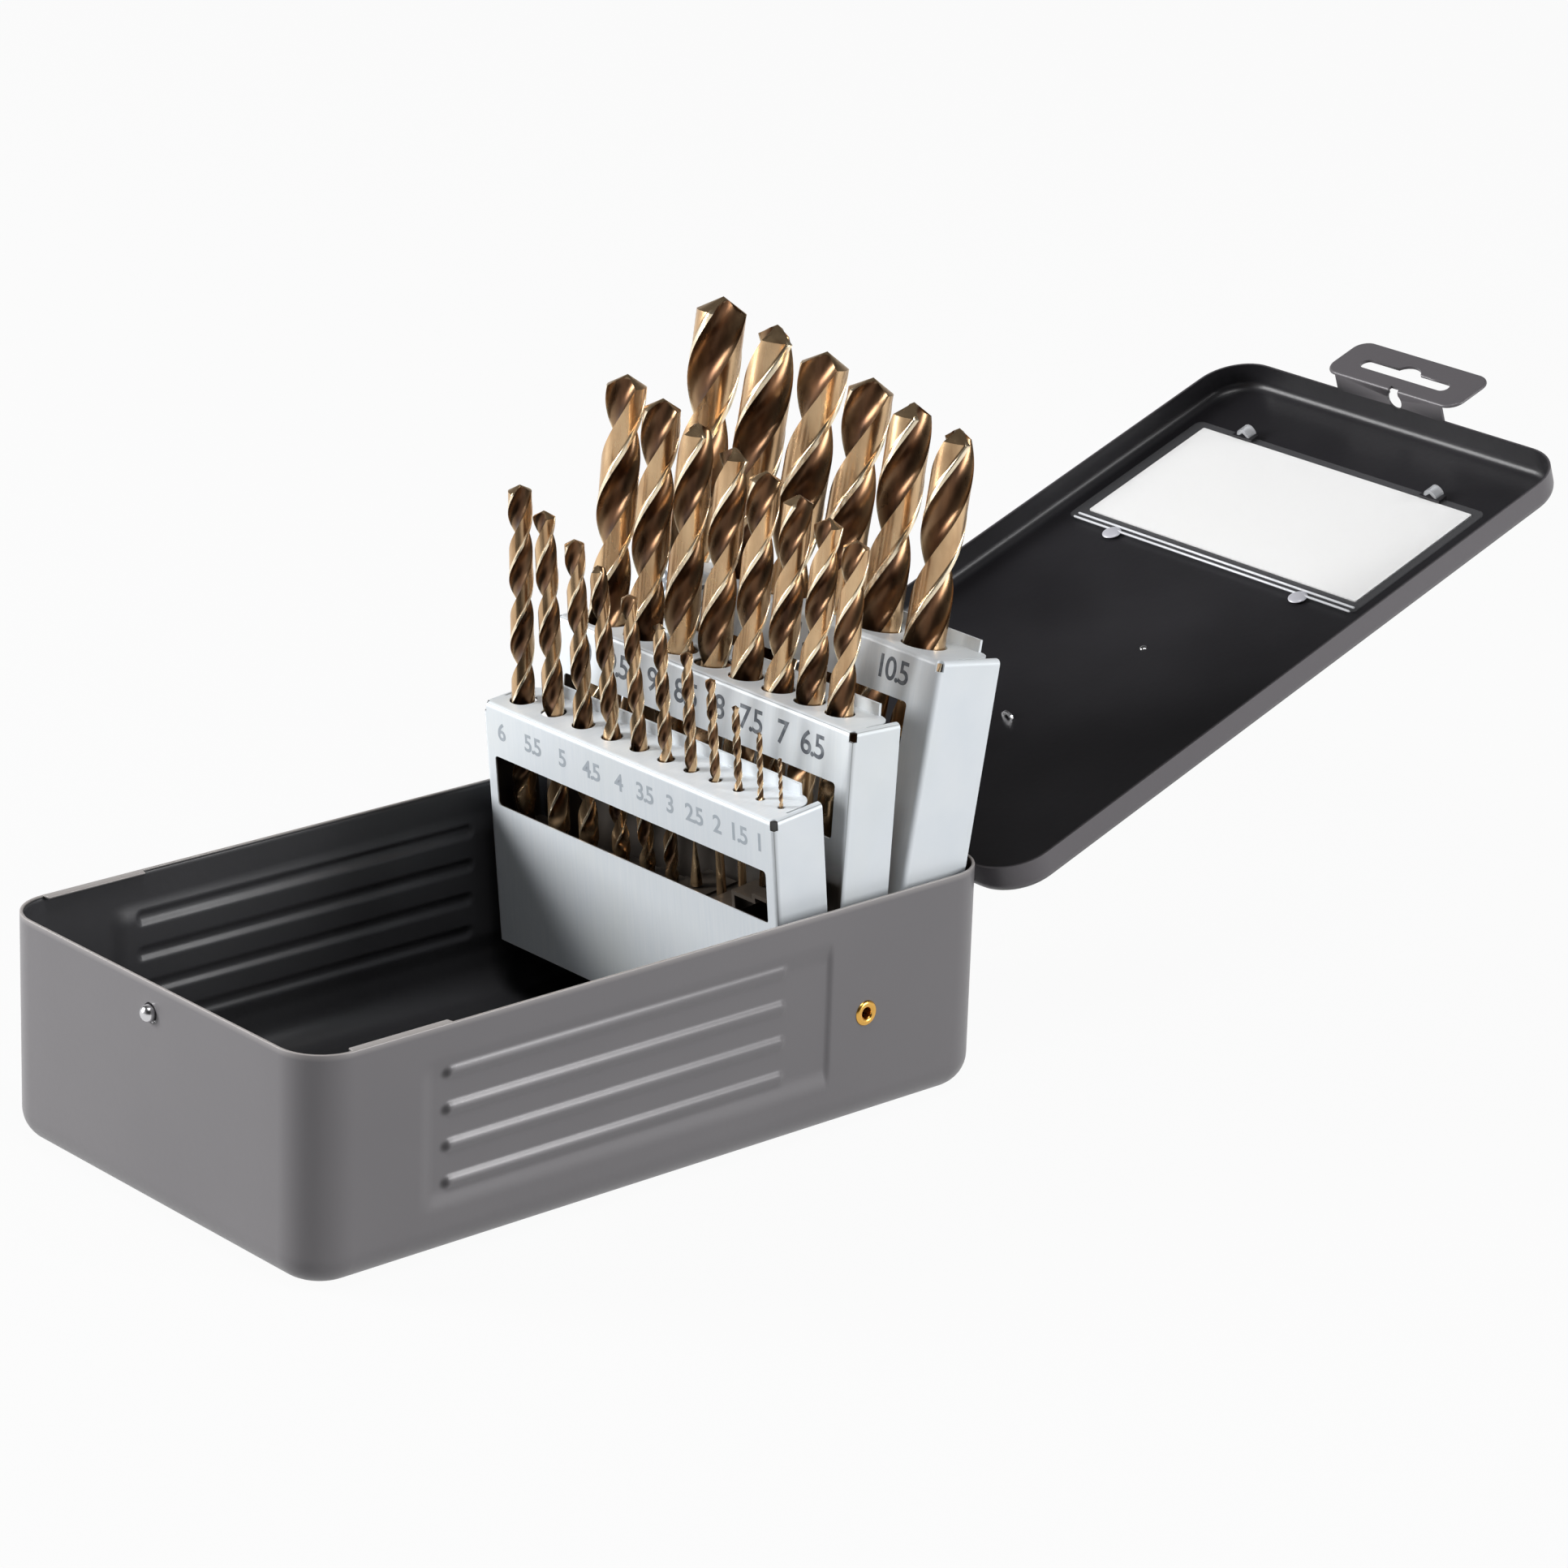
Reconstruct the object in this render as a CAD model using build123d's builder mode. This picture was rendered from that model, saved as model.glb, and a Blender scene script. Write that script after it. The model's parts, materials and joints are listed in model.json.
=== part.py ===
from build123d import *
from math import cos, pi, radians, sin, tan
import os

# Folding sheet-steel case for 25 twist drills, 1 to 13 mm by half millimetres.
# A pressed base and a pressed lid share a hinge at the back. Three banks of drills
# swing on one pair of hollow eyelets and fan out when the lid opens. Folded down,
# they lie on each other in the base, bank A lowest and bank C on top.
#
# Frame: millimetres, origin at the centre of the base's underside, +Z up, -Y the
# front with the latch, +Y the hinge side. Everything stands in its open pose.

# Base
SHEET = 0.8
CASE_WIDTH = 120.0
CASE_LENGTH = 207.0
CASE_HEIGHT = 57.3
CORNER_RADIUS = 12.0
FLOOR_RADIUS = 8.0

# Pressed panel, ribs and rim lip of the base's long sides
PANEL_FRONT_MARGIN = 30.5
PANEL_REAR_MARGIN = 52.0
PANEL_BOTTOM = 11.5
PANEL_TOP_MARGIN = 7.3
PANEL_DEPTH = 0.9
PANEL_TAPER = 30.0
RIB_FRONT_MARGIN = 7.7
RIB_REAR_MARGIN = 14.2
RIB_TOP_MARGIN = 4.6
RIB_PITCH = 9.0
RIB_COUNT = 4
RIB_WIDTH = 3.2
RIB_DEPTH = 0.8
RIB_TAPER = 20.0
LIP_FRONT_MARGIN = 12.2
LIP_LENGTH = 28.0
LIP_WIDTH = 2.5

# Lid
LID_FIT = 0.2
LID_DEPTH = 8.3
LID_EDGE_RADIUS = 3.4
LID_OPEN_ANGLE = 160.0
TONGUE_WIDTH = 38.0
TONGUE_SHIFT = -2.0
FLANGE_WIDTH = 47.0
TONGUE_DROP = 5.5
TONGUE_REACH = 15.7
FLANGE_CORNER = 4.5
FLANGE_EDGE = 0.7
TONGUE_ROOT = 1.1
HANG_SLOT_LENGTH = 31.0
HANG_SLOT_HEIGHT = 4.0
HANG_SLOT_BUMP = 4.4
HANG_SLOT_OUT = 6.5

# Hinge
PIN_RADIUS = 0.8
PIN_FIT = 0.06
KNUCKLE_RADIUS = 1.5
KNUCKLE_LENGTH = 18.0
KNUCKLE_GAP = 0.3
KNUCKLE_COUNT = 5
LEAF_THICKNESS = 0.6
LEAF_HEIGHT = 11.0
LID_LEAF_HEIGHT = 4.6
HINGE_DROP = 5.3
HINGE_GAP = 0.2

# Latch
CATCH_DROP = 2.1
BUTTON_RADIUS = 2.1
BUTTON_REACH = 2.4
BUTTON_DOME = 1.7
BUTTON_FIT = 0.4
CATCH_NECK = 3.4
SPRING_WIDTH = 10.0
SPRING_THICKNESS = 0.5
SPRING_BOTTOM = 22.0
SPRING_ABOVE = 3.6
SPRING_GAP = 0.2
SPRING_CORNER = 2.0
ANCHOR_WIDTH = 14.0
ANCHOR_HEIGHT = 5.0
ANCHOR_DEPTH = 1.4
ANCHOR_CORNER = 1.0
RIVET_PITCH = 7.0
RIVET_RADIUS = 1.3
HEAD_TAPER = 30.0

# Chart in the lid
CARD_SIDE_MARGIN = 12.3
CARD_LENGTH = 45.2
CARD_CORNER = 0.5
CARD_THICKNESS = 0.4
FILM_SIDE_MARGIN = 9.0
FILM_LENGTH = 52.0
FILM_FAR_MARGIN = 22.1
FILM_OVERLAP = 1.9
FILM_THICKNESS = 0.3
CHART_CORNER = 2.0
TAB_SPREAD = 34.0
TAB_WIDTH = 7.0
TAB_HOOK = 2.4
TAB_THICKNESS = 0.6
STUD_HEAD_RADIUS = 2.6
STUD_POST_RADIUS = 0.9
STUD_HEAD = 0.7
STUD_SETBACK = 1.2
CHART_FIT = 0.1
CHART_SHIFT = -2.6

# Pivot shared by the three banks
PIVOT_SETBACK = 40.9
PIVOT_Z = 28.6
EYELET_BORE = 1.4
EYELET_RADIUS = 2.0
EYELET_FLANGE = 3.2
EYELET_FLANGE_THICKNESS = 0.6
EYELET_TAPER = 25.0
PIVOT_FIT = 0.08
PIVOT_PLAY = 0.1
SPACER_RADIUS = 3.6

# Banks: folded sheet, bend radius, nested cheeks
BANK_SHEET = 0.7
BEND_RADIUS = 1.3
BANK_CLEARANCE = 1.3
CHEEK_STEP = 1.0
APRON_FIT = 0.5
LUG_RADIUS = 5.2
REAR_LIP_HEIGHT = 3.0
REAR_LIP_INSET = 7.0
PLATE_CORNER = 5.0
SLIT_WIDTH = 0.6
SLIT_INSET = 1.6
SLIT_SHARE = 0.62
RELIEF_RADIUS = 1.0
WINDOW_CORNER = 1.0
HOLE_FIT = 0.45
SHELF_THICKNESS = 1.0
SEAT_GAP = 0.1

# Drills
SIZE_STEP = 0.5
HELIX_ANGLE = 28.0
POINT_HALF_ANGLE = 59.0
LAND_SHARE = 0.78
FLUTE_WIDTH_SHARE = 0.8
FLUTE_DEPTH_SHARE = 0.58

# Overall and flute length of each jobber drill, by diameter (DIN 338)
DRILL_LENGTHS = {
    13.0: (151, 101), 12.5: (151, 101), 12.0: (151, 101), 11.5: (142, 94),
    11.0: (142, 94), 10.5: (133, 87), 10.0: (133, 87), 9.5: (125, 81),
    9.0: (125, 81), 8.5: (117, 75), 8.0: (117, 75), 7.5: (109, 69),
    7.0: (109, 69), 6.5: (101, 63), 6.0: (93, 57), 5.5: (93, 57),
    5.0: (86, 52), 4.5: (80, 47), 4.0: (75, 43), 3.5: (70, 39),
    3.0: (61, 33), 2.5: (57, 30), 2.0: (49, 24), 1.5: (40, 18), 1.0: (34, 12),
}

# Places that follow from the sizes above
HALF_WIDTH = CASE_WIDTH / 2
HALF_LENGTH = CASE_LENGTH / 2
PANEL_FRONT = PANEL_FRONT_MARGIN - HALF_LENGTH
PANEL_REAR = HALF_LENGTH - PANEL_REAR_MARGIN
PANEL_TOP = CASE_HEIGHT - PANEL_TOP_MARGIN
RIB_FRONT = PANEL_FRONT + RIB_FRONT_MARGIN
RIB_REAR = PANEL_REAR - RIB_REAR_MARGIN
RIB_TOP_HEIGHT = PANEL_TOP - RIB_TOP_MARGIN
LIP_FRONT = LIP_FRONT_MARGIN - HALF_LENGTH
LIP_REAR = LIP_FRONT + LIP_LENGTH
LID_WIDTH = CASE_WIDTH + 2 * (LID_FIT + SHEET)
LID_LENGTH = CASE_LENGTH + 2 * (LID_FIT + SHEET)
LID_CORNER = CORNER_RADIUS + LID_FIT + SHEET
HINGE_Y = LID_LENGTH / 2 + HINGE_GAP + KNUCKLE_RADIUS
HINGE_HEIGHT = CASE_HEIGHT - HINGE_DROP
LATCH_HEIGHT = HINGE_HEIGHT - CATCH_DROP
SPRING_TOP = LATCH_HEIGHT + SPRING_ABOVE
PIVOT_Y = HALF_LENGTH - PIVOT_SETBACK
BANK_HALF_WIDTH = HALF_WIDTH - SHEET - PANEL_DEPTH - RIB_DEPTH - BANK_CLEARANCE
CARD_WIDTH = LID_WIDTH - 2 * CARD_SIDE_MARGIN
FILM_WIDTH = LID_WIDTH - 2 * FILM_SIDE_MARGIN
FILM_END = HINGE_Y + LID_LENGTH / 2 - FILM_FAR_MARGIN
FILM_START = FILM_END - FILM_LENGTH
CARD_END = FILM_END - FILM_OVERLAP
CARD_START = CARD_END - CARD_LENGTH
CHEEK_INSIDE = BANK_HALF_WIDTH - 2 * CHEEK_STEP - BANK_SHEET
APRON_HALF = CHEEK_INSIDE - EYELET_FLANGE_THICKNESS - APRON_FIT
HINGE_LENGTH = KNUCKLE_COUNT * (KNUCKLE_LENGTH + KNUCKLE_GAP) - KNUCKLE_GAP

X_AXIS = (1, 0, 0)


class Frame:
    """A right-handed frame that turns about X: x stays X, 'up' leans back by an angle."""

    def __init__(self, origin, lean):
        up = (0, sin(radians(lean)), cos(radians(lean)))
        self.base = Plane(origin=origin, x_dir=X_AXIS, z_dir=up)

    def plan(self, height):
        """The plane across 'up' at a height: local x is X, local y points back."""
        return self.base.offset(height)

    def side(self, x):
        """The plane across X: local x points back, local y points up."""
        return Plane(
            origin=self.base.from_local_coords((x, 0, 0)), x_dir=self.base.y_dir, z_dir=X_AXIS
        )

    def face(self, back):
        """The plane across 'back': local x is X, local y points up, normal to the front."""
        return Plane(
            origin=self.base.from_local_coords((0, back, 0)),
            x_dir=X_AXIS,
            z_dir=-self.base.y_dir,
        )

    def up(self):
        """The axis along 'up', for sorting faces and edges by height."""
        return Axis(self.base.origin, self.base.z_dir)

    def back(self):
        """The axis along 'back', for sorting faces and edges from front to rear."""
        return Axis(self.base.origin, self.base.y_dir)


def write(part, name):
    """Label a finished piece and write its STEP file."""
    part.label = name
    export_step(part, f"parts/{name}.step")


os.makedirs("parts", exist_ok=True)
case = Frame((0, 0, 0), 0)
# The lid's frame sits on the hinge: local y runs from the hinge to the far end,
# 'up' points out of the dish.
lid_frame = Frame((0, HINGE_Y, HINGE_HEIGHT), LID_OPEN_ANGLE - 180)


# ---------------------------------------------------------------- base
with BuildPart() as cavity:
    with BuildSketch(case.plan(SHEET)):
        RectangleRounded(CASE_WIDTH - 2 * SHEET, CASE_LENGTH - 2 * SHEET, CORNER_RADIUS - SHEET)
    extrude(amount=CASE_HEIGHT)
    fillet(cavity.faces().sort_by(Axis.Z)[0].edges(), radius=FLOOR_RADIUS - SHEET)
    for hand in (-1, 1):
        # the pressed panel and ribs stand inward, as deep as they are pressed
        with BuildSketch(Plane.YZ.offset(hand * (HALF_WIDTH - SHEET))):
            with Locations(((PANEL_FRONT + PANEL_REAR) / 2, (PANEL_BOTTOM + PANEL_TOP) / 2)):
                Rectangle(PANEL_REAR - PANEL_FRONT, PANEL_TOP - PANEL_BOTTOM)
        extrude(amount=-hand * PANEL_DEPTH, taper=PANEL_TAPER, mode=Mode.SUBTRACT)
        for rib in range(RIB_COUNT):
            with BuildSketch(Plane.YZ.offset(hand * (HALF_WIDTH - SHEET - PANEL_DEPTH))):
                with Locations(((RIB_FRONT + RIB_REAR) / 2, RIB_TOP_HEIGHT - rib * RIB_PITCH)):
                    SlotOverall(RIB_REAR - RIB_FRONT + SHEET, RIB_WIDTH + SHEET)
            extrude(amount=-hand * RIB_DEPTH, taper=RIB_TAPER, mode=Mode.SUBTRACT)
        with BuildSketch(case.plan(CASE_HEIGHT - SHEET)):
            with Locations((hand * (HALF_WIDTH - SHEET), (LIP_FRONT + LIP_REAR) / 2)):
                Rectangle(2 * LIP_WIDTH, LIP_REAR - LIP_FRONT)
        extrude(amount=2 * SHEET, mode=Mode.SUBTRACT)

with BuildPart() as base_case:
    with BuildSketch(case.plan(0)):
        RectangleRounded(CASE_WIDTH, CASE_LENGTH, CORNER_RADIUS)
    extrude(amount=CASE_HEIGHT)
    fillet(base_case.faces().sort_by(Axis.Z)[0].edges(), radius=FLOOR_RADIUS)
    add(cavity.part, mode=Mode.SUBTRACT)
    for hand in (-1, 1):
        with BuildSketch(Plane.YZ.offset(hand * HALF_WIDTH)):
            with Locations(((PANEL_FRONT + PANEL_REAR) / 2, (PANEL_BOTTOM + PANEL_TOP) / 2)):
                Rectangle(PANEL_REAR - PANEL_FRONT - SHEET, PANEL_TOP - PANEL_BOTTOM - SHEET)
        extrude(amount=-hand * PANEL_DEPTH, taper=PANEL_TAPER, mode=Mode.SUBTRACT)
        for rib in range(RIB_COUNT):
            with BuildSketch(Plane.YZ.offset(hand * (HALF_WIDTH - PANEL_DEPTH))):
                with Locations(((RIB_FRONT + RIB_REAR) / 2, RIB_TOP_HEIGHT - rib * RIB_PITCH)):
                    SlotOverall(RIB_REAR - RIB_FRONT, RIB_WIDTH)
            extrude(amount=-hand * RIB_DEPTH, taper=RIB_TAPER, mode=Mode.SUBTRACT)
    # eyelet holes right through both sides
    with BuildSketch(Plane.YZ.offset(-HALF_WIDTH)):
        with Locations((PIVOT_Y, PIVOT_Z)):
            Circle(EYELET_RADIUS)
    extrude(amount=CASE_WIDTH, mode=Mode.SUBTRACT)
    # latch button's hole in the front wall
    with BuildSketch(Plane.XZ.offset(HALF_LENGTH - 2 * SHEET)):
        with Locations((0, LATCH_HEIGHT)):
            Circle(BUTTON_RADIUS + BUTTON_FIT)
    extrude(amount=2 * SHEET, mode=Mode.SUBTRACT)
write(base_case.part, "base_case")


# ---------------------------------------------------------------- lid
lid_middle = HINGE_Y
lid_far = HINGE_Y + LID_LENGTH / 2
lid_floor = -(LID_DEPTH - SHEET)

with BuildPart() as dish:
    with BuildSketch(lid_frame.plan(lid_floor)):
        with Locations((0, lid_middle)):
            RectangleRounded(LID_WIDTH - 2 * SHEET, LID_LENGTH - 2 * SHEET, LID_CORNER - SHEET)
    extrude(amount=LID_DEPTH)
    fillet(
        dish.faces().sort_by(lid_frame.up())[0].edges(),
        radius=LID_EDGE_RADIUS - SHEET,
    )

with BuildPart() as lid:
    with BuildSketch(lid_frame.plan(-LID_DEPTH)):
        with Locations((0, lid_middle)):
            RectangleRounded(LID_WIDTH, LID_LENGTH, LID_CORNER)
    extrude(amount=LID_DEPTH)
    fillet(
        lid.faces().sort_by(lid_frame.up())[0].edges(),
        radius=LID_EDGE_RADIUS,
    )
    add(dish.part, mode=Mode.SUBTRACT)
    # tongue: a neck that carries the front skirt on, then a wider flange bent outward
    with BuildSketch(lid_frame.plan(-TONGUE_ROOT)):
        with Locations((TONGUE_SHIFT, lid_far - SHEET / 2)):
            Rectangle(TONGUE_WIDTH, SHEET)
    extrude(amount=TONGUE_DROP + TONGUE_ROOT)
    with BuildSketch(lid_frame.plan(TONGUE_DROP - SHEET)):
        with Locations((TONGUE_SHIFT, lid_far + (TONGUE_REACH - SHEET) / 2)):
            RectangleRounded(FLANGE_WIDTH, TONGUE_REACH + SHEET, FLANGE_CORNER)
    extrude(amount=SHEET)
    fold = lid.edges().filter_by(Axis.X).group_by(lid_frame.up())[-1].sort_by(lid_frame.back())[0]
    fillet(fold, radius=FLANGE_EDGE)
    # hanging slot with a round bump in the middle of its outer side
    with BuildSketch(lid_frame.plan(TONGUE_DROP - SHEET)):
        with Locations((TONGUE_SHIFT, lid_far + HANG_SLOT_OUT)):
            SlotOverall(HANG_SLOT_LENGTH, HANG_SLOT_HEIGHT)
            Circle(HANG_SLOT_BUMP)
        with Locations(
            (TONGUE_SHIFT, lid_far + HANG_SLOT_OUT - HANG_SLOT_HEIGHT / 2 - HANG_SLOT_BUMP / 2)
        ):
            Rectangle(2 * HANG_SLOT_BUMP, HANG_SLOT_BUMP, mode=Mode.SUBTRACT)
    extrude(amount=SHEET, mode=Mode.SUBTRACT)
    # catch hole for the latch button, run on to the fold
    with BuildSketch(lid_frame.face(lid_far)):
        with Locations((0, CATCH_DROP)):
            Circle(BUTTON_RADIUS + BUTTON_FIT)
            Rectangle(CATCH_NECK, TONGUE_DROP - CATCH_DROP, align=(Align.CENTER, Align.MIN))
    extrude(amount=SHEET, both=True, mode=Mode.SUBTRACT)
    # two lanced hooks hold the chart's outer edge
    for hand in (-1, 1):
        with BuildSketch(lid_frame.plan(lid_floor)):
            with Locations(
                (CHART_SHIFT + hand * TAB_SPREAD, FILM_END + CHART_FIT + TAB_THICKNESS / 2)
            ):
                Rectangle(TAB_WIDTH, TAB_THICKNESS)
        extrude(amount=CARD_THICKNESS + FILM_THICKNESS + CHART_FIT + TAB_THICKNESS)
        with BuildSketch(lid_frame.plan(lid_floor + CARD_THICKNESS + FILM_THICKNESS + CHART_FIT)):
            with Locations(
                (CHART_SHIFT + hand * TAB_SPREAD, FILM_END - TAB_HOOK / 2 + TAB_THICKNESS)
            ):
                Rectangle(TAB_WIDTH, TAB_HOOK + TAB_THICKNESS)
        extrude(amount=TAB_THICKNESS)
write(lid.part, "lid")


# ---------------------------------------------------------------- chart in the lid
with BuildPart() as size_chart_card:
    with BuildSketch(lid_frame.plan(lid_floor)):
        with Locations((CHART_SHIFT, (CARD_START + CARD_END) / 2)):
            RectangleRounded(CARD_WIDTH, CARD_END - CARD_START, CARD_CORNER)
    extrude(amount=CARD_THICKNESS)
write(size_chart_card.part, "size_chart_card")

with BuildPart() as chart_film:
    with BuildSketch(lid_frame.plan(lid_floor + CARD_THICKNESS)):
        with Locations((CHART_SHIFT, (FILM_START + FILM_END) / 2)):
            RectangleRounded(FILM_WIDTH, FILM_END - FILM_START, CHART_CORNER)
    extrude(amount=FILM_THICKNESS)
write(chart_film.part, "chart_film")

stud_places = [
    (CHART_SHIFT + hand * TAB_SPREAD, FILM_START - STUD_SETBACK) for hand in (-1, 1)
]
with BuildPart() as chart_studs:
    with BuildSketch(lid_frame.plan(lid_floor)):
        with Locations(*stud_places):
            Circle(STUD_POST_RADIUS)
    extrude(amount=CARD_THICKNESS + FILM_THICKNESS + CHART_FIT)
    with BuildSketch(lid_frame.plan(lid_floor + CARD_THICKNESS + FILM_THICKNESS + CHART_FIT)):
        with Locations(*stud_places):
            Circle(STUD_HEAD_RADIUS)
    extrude(amount=STUD_HEAD, taper=HEAD_TAPER)
write(chart_studs.part, "chart_studs")


# ---------------------------------------------------------------- hinge
def knuckle_starts(first):
    """Where every second knuckle begins along X, from the first or the second on."""
    pitch = KNUCKLE_LENGTH + KNUCKLE_GAP
    return [-HINGE_LENGTH / 2 + i * pitch for i in range(first, KNUCKLE_COUNT, 2)]


# The base leaf: a plate on the back wall, and a web to the underside of each knuckle.
with BuildPart() as hinge_leaf_base:
    leaf_top = HINGE_HEIGHT - KNUCKLE_RADIUS + LEAF_THICKNESS
    for start in knuckle_starts(0):
        with BuildSketch(Plane.YZ.offset(start)):
            with Locations((HALF_LENGTH, leaf_top)):
                Rectangle(
                    HINGE_Y - HALF_LENGTH, LEAF_THICKNESS, align=(Align.MIN, Align.MAX)
                )
            with Locations((HINGE_Y, HINGE_HEIGHT)):
                Circle(KNUCKLE_RADIUS)
                Circle(PIN_RADIUS + PIN_FIT, mode=Mode.SUBTRACT)
        extrude(amount=KNUCKLE_LENGTH)
    with BuildSketch(Plane.YZ.offset(-HINGE_LENGTH / 2)):
        with Locations((HALF_LENGTH, leaf_top)):
            Rectangle(LEAF_THICKNESS, LEAF_HEIGHT, align=(Align.MIN, Align.MAX))
    extrude(amount=HINGE_LENGTH)
write(hinge_leaf_base.part, "hinge_leaf_base")

# The lid leaf: a plate on the rear skirt, and a web that meets each knuckle.
with BuildPart() as hinge_leaf_lid:
    skirt = HINGE_Y - LID_LENGTH / 2
    for start in knuckle_starts(1):
        with BuildSketch(lid_frame.side(start)):
            with Locations((0, -KNUCKLE_RADIUS)):
                Rectangle(skirt, LEAF_THICKNESS, align=(Align.MIN, Align.MIN))
            with Locations((skirt, -KNUCKLE_RADIUS + LEAF_THICKNESS)):
                Rectangle(LEAF_THICKNESS, 2 * LEAF_THICKNESS, align=(Align.MAX, Align.MAX))
            Circle(KNUCKLE_RADIUS)
            Circle(PIN_RADIUS + PIN_FIT, mode=Mode.SUBTRACT)
        extrude(amount=KNUCKLE_LENGTH)
    # below the knuckles the plate runs the whole length
    with BuildSketch(lid_frame.side(-HINGE_LENGTH / 2)):
        with Locations((skirt, -KNUCKLE_RADIUS - HINGE_GAP)):
            Rectangle(LEAF_THICKNESS, LID_LEAF_HEIGHT, align=(Align.MAX, Align.MAX))
    extrude(amount=HINGE_LENGTH)
write(hinge_leaf_lid.part, "hinge_leaf_lid")

with BuildPart() as hinge_pin:
    with BuildSketch(Plane.YZ.offset(-HINGE_LENGTH / 2)):
        with Locations((HINGE_Y, HINGE_HEIGHT)):
            Circle(PIN_RADIUS)
    extrude(amount=HINGE_LENGTH)
write(hinge_pin.part, "hinge_pin")


# ---------------------------------------------------------------- latch
spring_front = -(HALF_LENGTH - SHEET - SPRING_GAP)
with BuildPart() as latch_spring:
    with BuildSketch(Plane.XZ.offset(-spring_front - SPRING_THICKNESS)):
        with Locations((0, (SPRING_BOTTOM + SPRING_TOP) / 2)):
            RectangleRounded(SPRING_WIDTH, SPRING_TOP - SPRING_BOTTOM, SPRING_CORNER)
    extrude(amount=SPRING_THICKNESS)
write(latch_spring.part, "latch_spring")

with BuildPart() as latch_button:
    with BuildSketch(Plane.XZ.offset(-spring_front)):
        with Locations((0, LATCH_HEIGHT)):
            Circle(BUTTON_RADIUS)
    extrude(amount=SHEET + SPRING_GAP + BUTTON_REACH)
    fillet(latch_button.faces().sort_by(Axis.Y)[0].edges(), radius=BUTTON_DOME)
write(latch_button.part, "latch_button")

with BuildPart() as latch_anchor:
    with BuildSketch(Plane.XZ.offset(HALF_LENGTH - SHEET - ANCHOR_DEPTH)):
        with Locations((0, SPRING_BOTTOM - PIVOT_PLAY)):
            Rectangle(ANCHOR_WIDTH, ANCHOR_HEIGHT, align=(Align.CENTER, Align.MAX))
    extrude(amount=ANCHOR_DEPTH)
    fillet(latch_anchor.edges().filter_by(Axis.Y), radius=ANCHOR_CORNER)
    with BuildSketch(Plane.XZ.offset(HALF_LENGTH - SHEET - ANCHOR_DEPTH)):
        with Locations((0, SPRING_BOTTOM - PIVOT_PLAY - ANCHOR_HEIGHT / 2)):
            with GridLocations(RIVET_PITCH, 0, 2, 1):
                Circle(RIVET_RADIUS)
    extrude(amount=-SHEET, taper=HEAD_TAPER)
write(latch_anchor.part, "latch_anchor")


# ---------------------------------------------------------------- pivot
flange_inside = CHEEK_INSIDE - PIVOT_PLAY - EYELET_FLANGE_THICKNESS
with BuildPart() as pivot_eyelets:
    for hand in (-1, 1):
        with BuildSketch(Plane.YZ.offset(hand * flange_inside)):
            with Locations((PIVOT_Y, PIVOT_Z)):
                Circle(EYELET_FLANGE)
        extrude(amount=hand * EYELET_FLANGE_THICKNESS)
        with BuildSketch(Plane.YZ.offset(hand * flange_inside)):
            with Locations((PIVOT_Y, PIVOT_Z)):
                Circle(EYELET_RADIUS)
        extrude(amount=hand * (HALF_WIDTH - flange_inside))
        with BuildSketch(Plane.YZ.offset(hand * HALF_WIDTH)):
            with Locations((PIVOT_Y, PIVOT_Z)):
                Circle(EYELET_FLANGE)
        extrude(amount=hand * EYELET_FLANGE_THICKNESS, taper=EYELET_TAPER)
    with BuildSketch(Plane.YZ.offset(-HALF_WIDTH - EYELET_FLANGE_THICKNESS)):
        with Locations((PIVOT_Y, PIVOT_Z)):
            Circle(EYELET_BORE)
    extrude(amount=CASE_WIDTH + 2 * EYELET_FLANGE_THICKNESS, mode=Mode.SUBTRACT)
write(pivot_eyelets.part, "pivot_eyelets")

with BuildPart() as pivot_spacers:
    for hand in (-1, 1):
        with BuildSketch(Plane.YZ.offset(hand * (BANK_HALF_WIDTH + PIVOT_PLAY))):
            with Locations((PIVOT_Y, PIVOT_Z)):
                Circle(SPACER_RADIUS)
                Circle(EYELET_RADIUS + PIVOT_FIT, mode=Mode.SUBTRACT)
        extrude(amount=hand * (HALF_WIDTH - SHEET - BANK_HALF_WIDTH - PIVOT_PLAY))
write(pivot_spacers.part, "pivot_spacers")


# ---------------------------------------------------------------- banks
class Bank:
    """One bank: its lean, its place across the fold, its height and its drills."""

    def __init__(self, letter, lean, front, rear, top, low, window, window_inset, largest,
                 count, margins, row, tips, back_lean, side_leans, inset, apron=None):
        self.letter = letter
        self.frame = Frame((0, PIVOT_Y, PIVOT_Z), lean)
        self.front = front
        self.rear = rear
        self.depth = rear - front
        self.middle = (front + rear) / 2
        self.top = top
        self.low = low
        self.apron = apron
        self.window = window
        self.window_inset = window_inset
        self.row = row
        self.half = BANK_HALF_WIDTH - inset * CHEEK_STEP
        self.sizes = [largest - SIZE_STEP * i for i in range(count)]
        # equal gaps share what the drills and the two end margins leave
        gap = (2 * self.half - sum(margins) - sum(self.sizes)) / (count - 1)
        self.holes = [margins[0] + largest / 2 - self.half]
        for size, after in zip(self.sizes, self.sizes[1:]):
            self.holes.append(self.holes[-1] + (size + after) / 2 + gap)
        # the tips keep to a straight falling line, so each seat is the line less the length
        drop = (tips[0] - tips[1]) / (count - 1)
        self.seats = [
            tips[0] - i * drop - DRILL_LENGTHS[size][0] for i, size in enumerate(self.sizes)
        ]
        self.back_slope = tan(radians(back_lean))
        self.side_slopes = [tan(radians(lean)) for lean in side_leans]
        self.feet = [
            x - slope * (top - seat)
            for x, slope, seat in zip(self.holes, self.side_slopes, self.seats)
        ]


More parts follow.
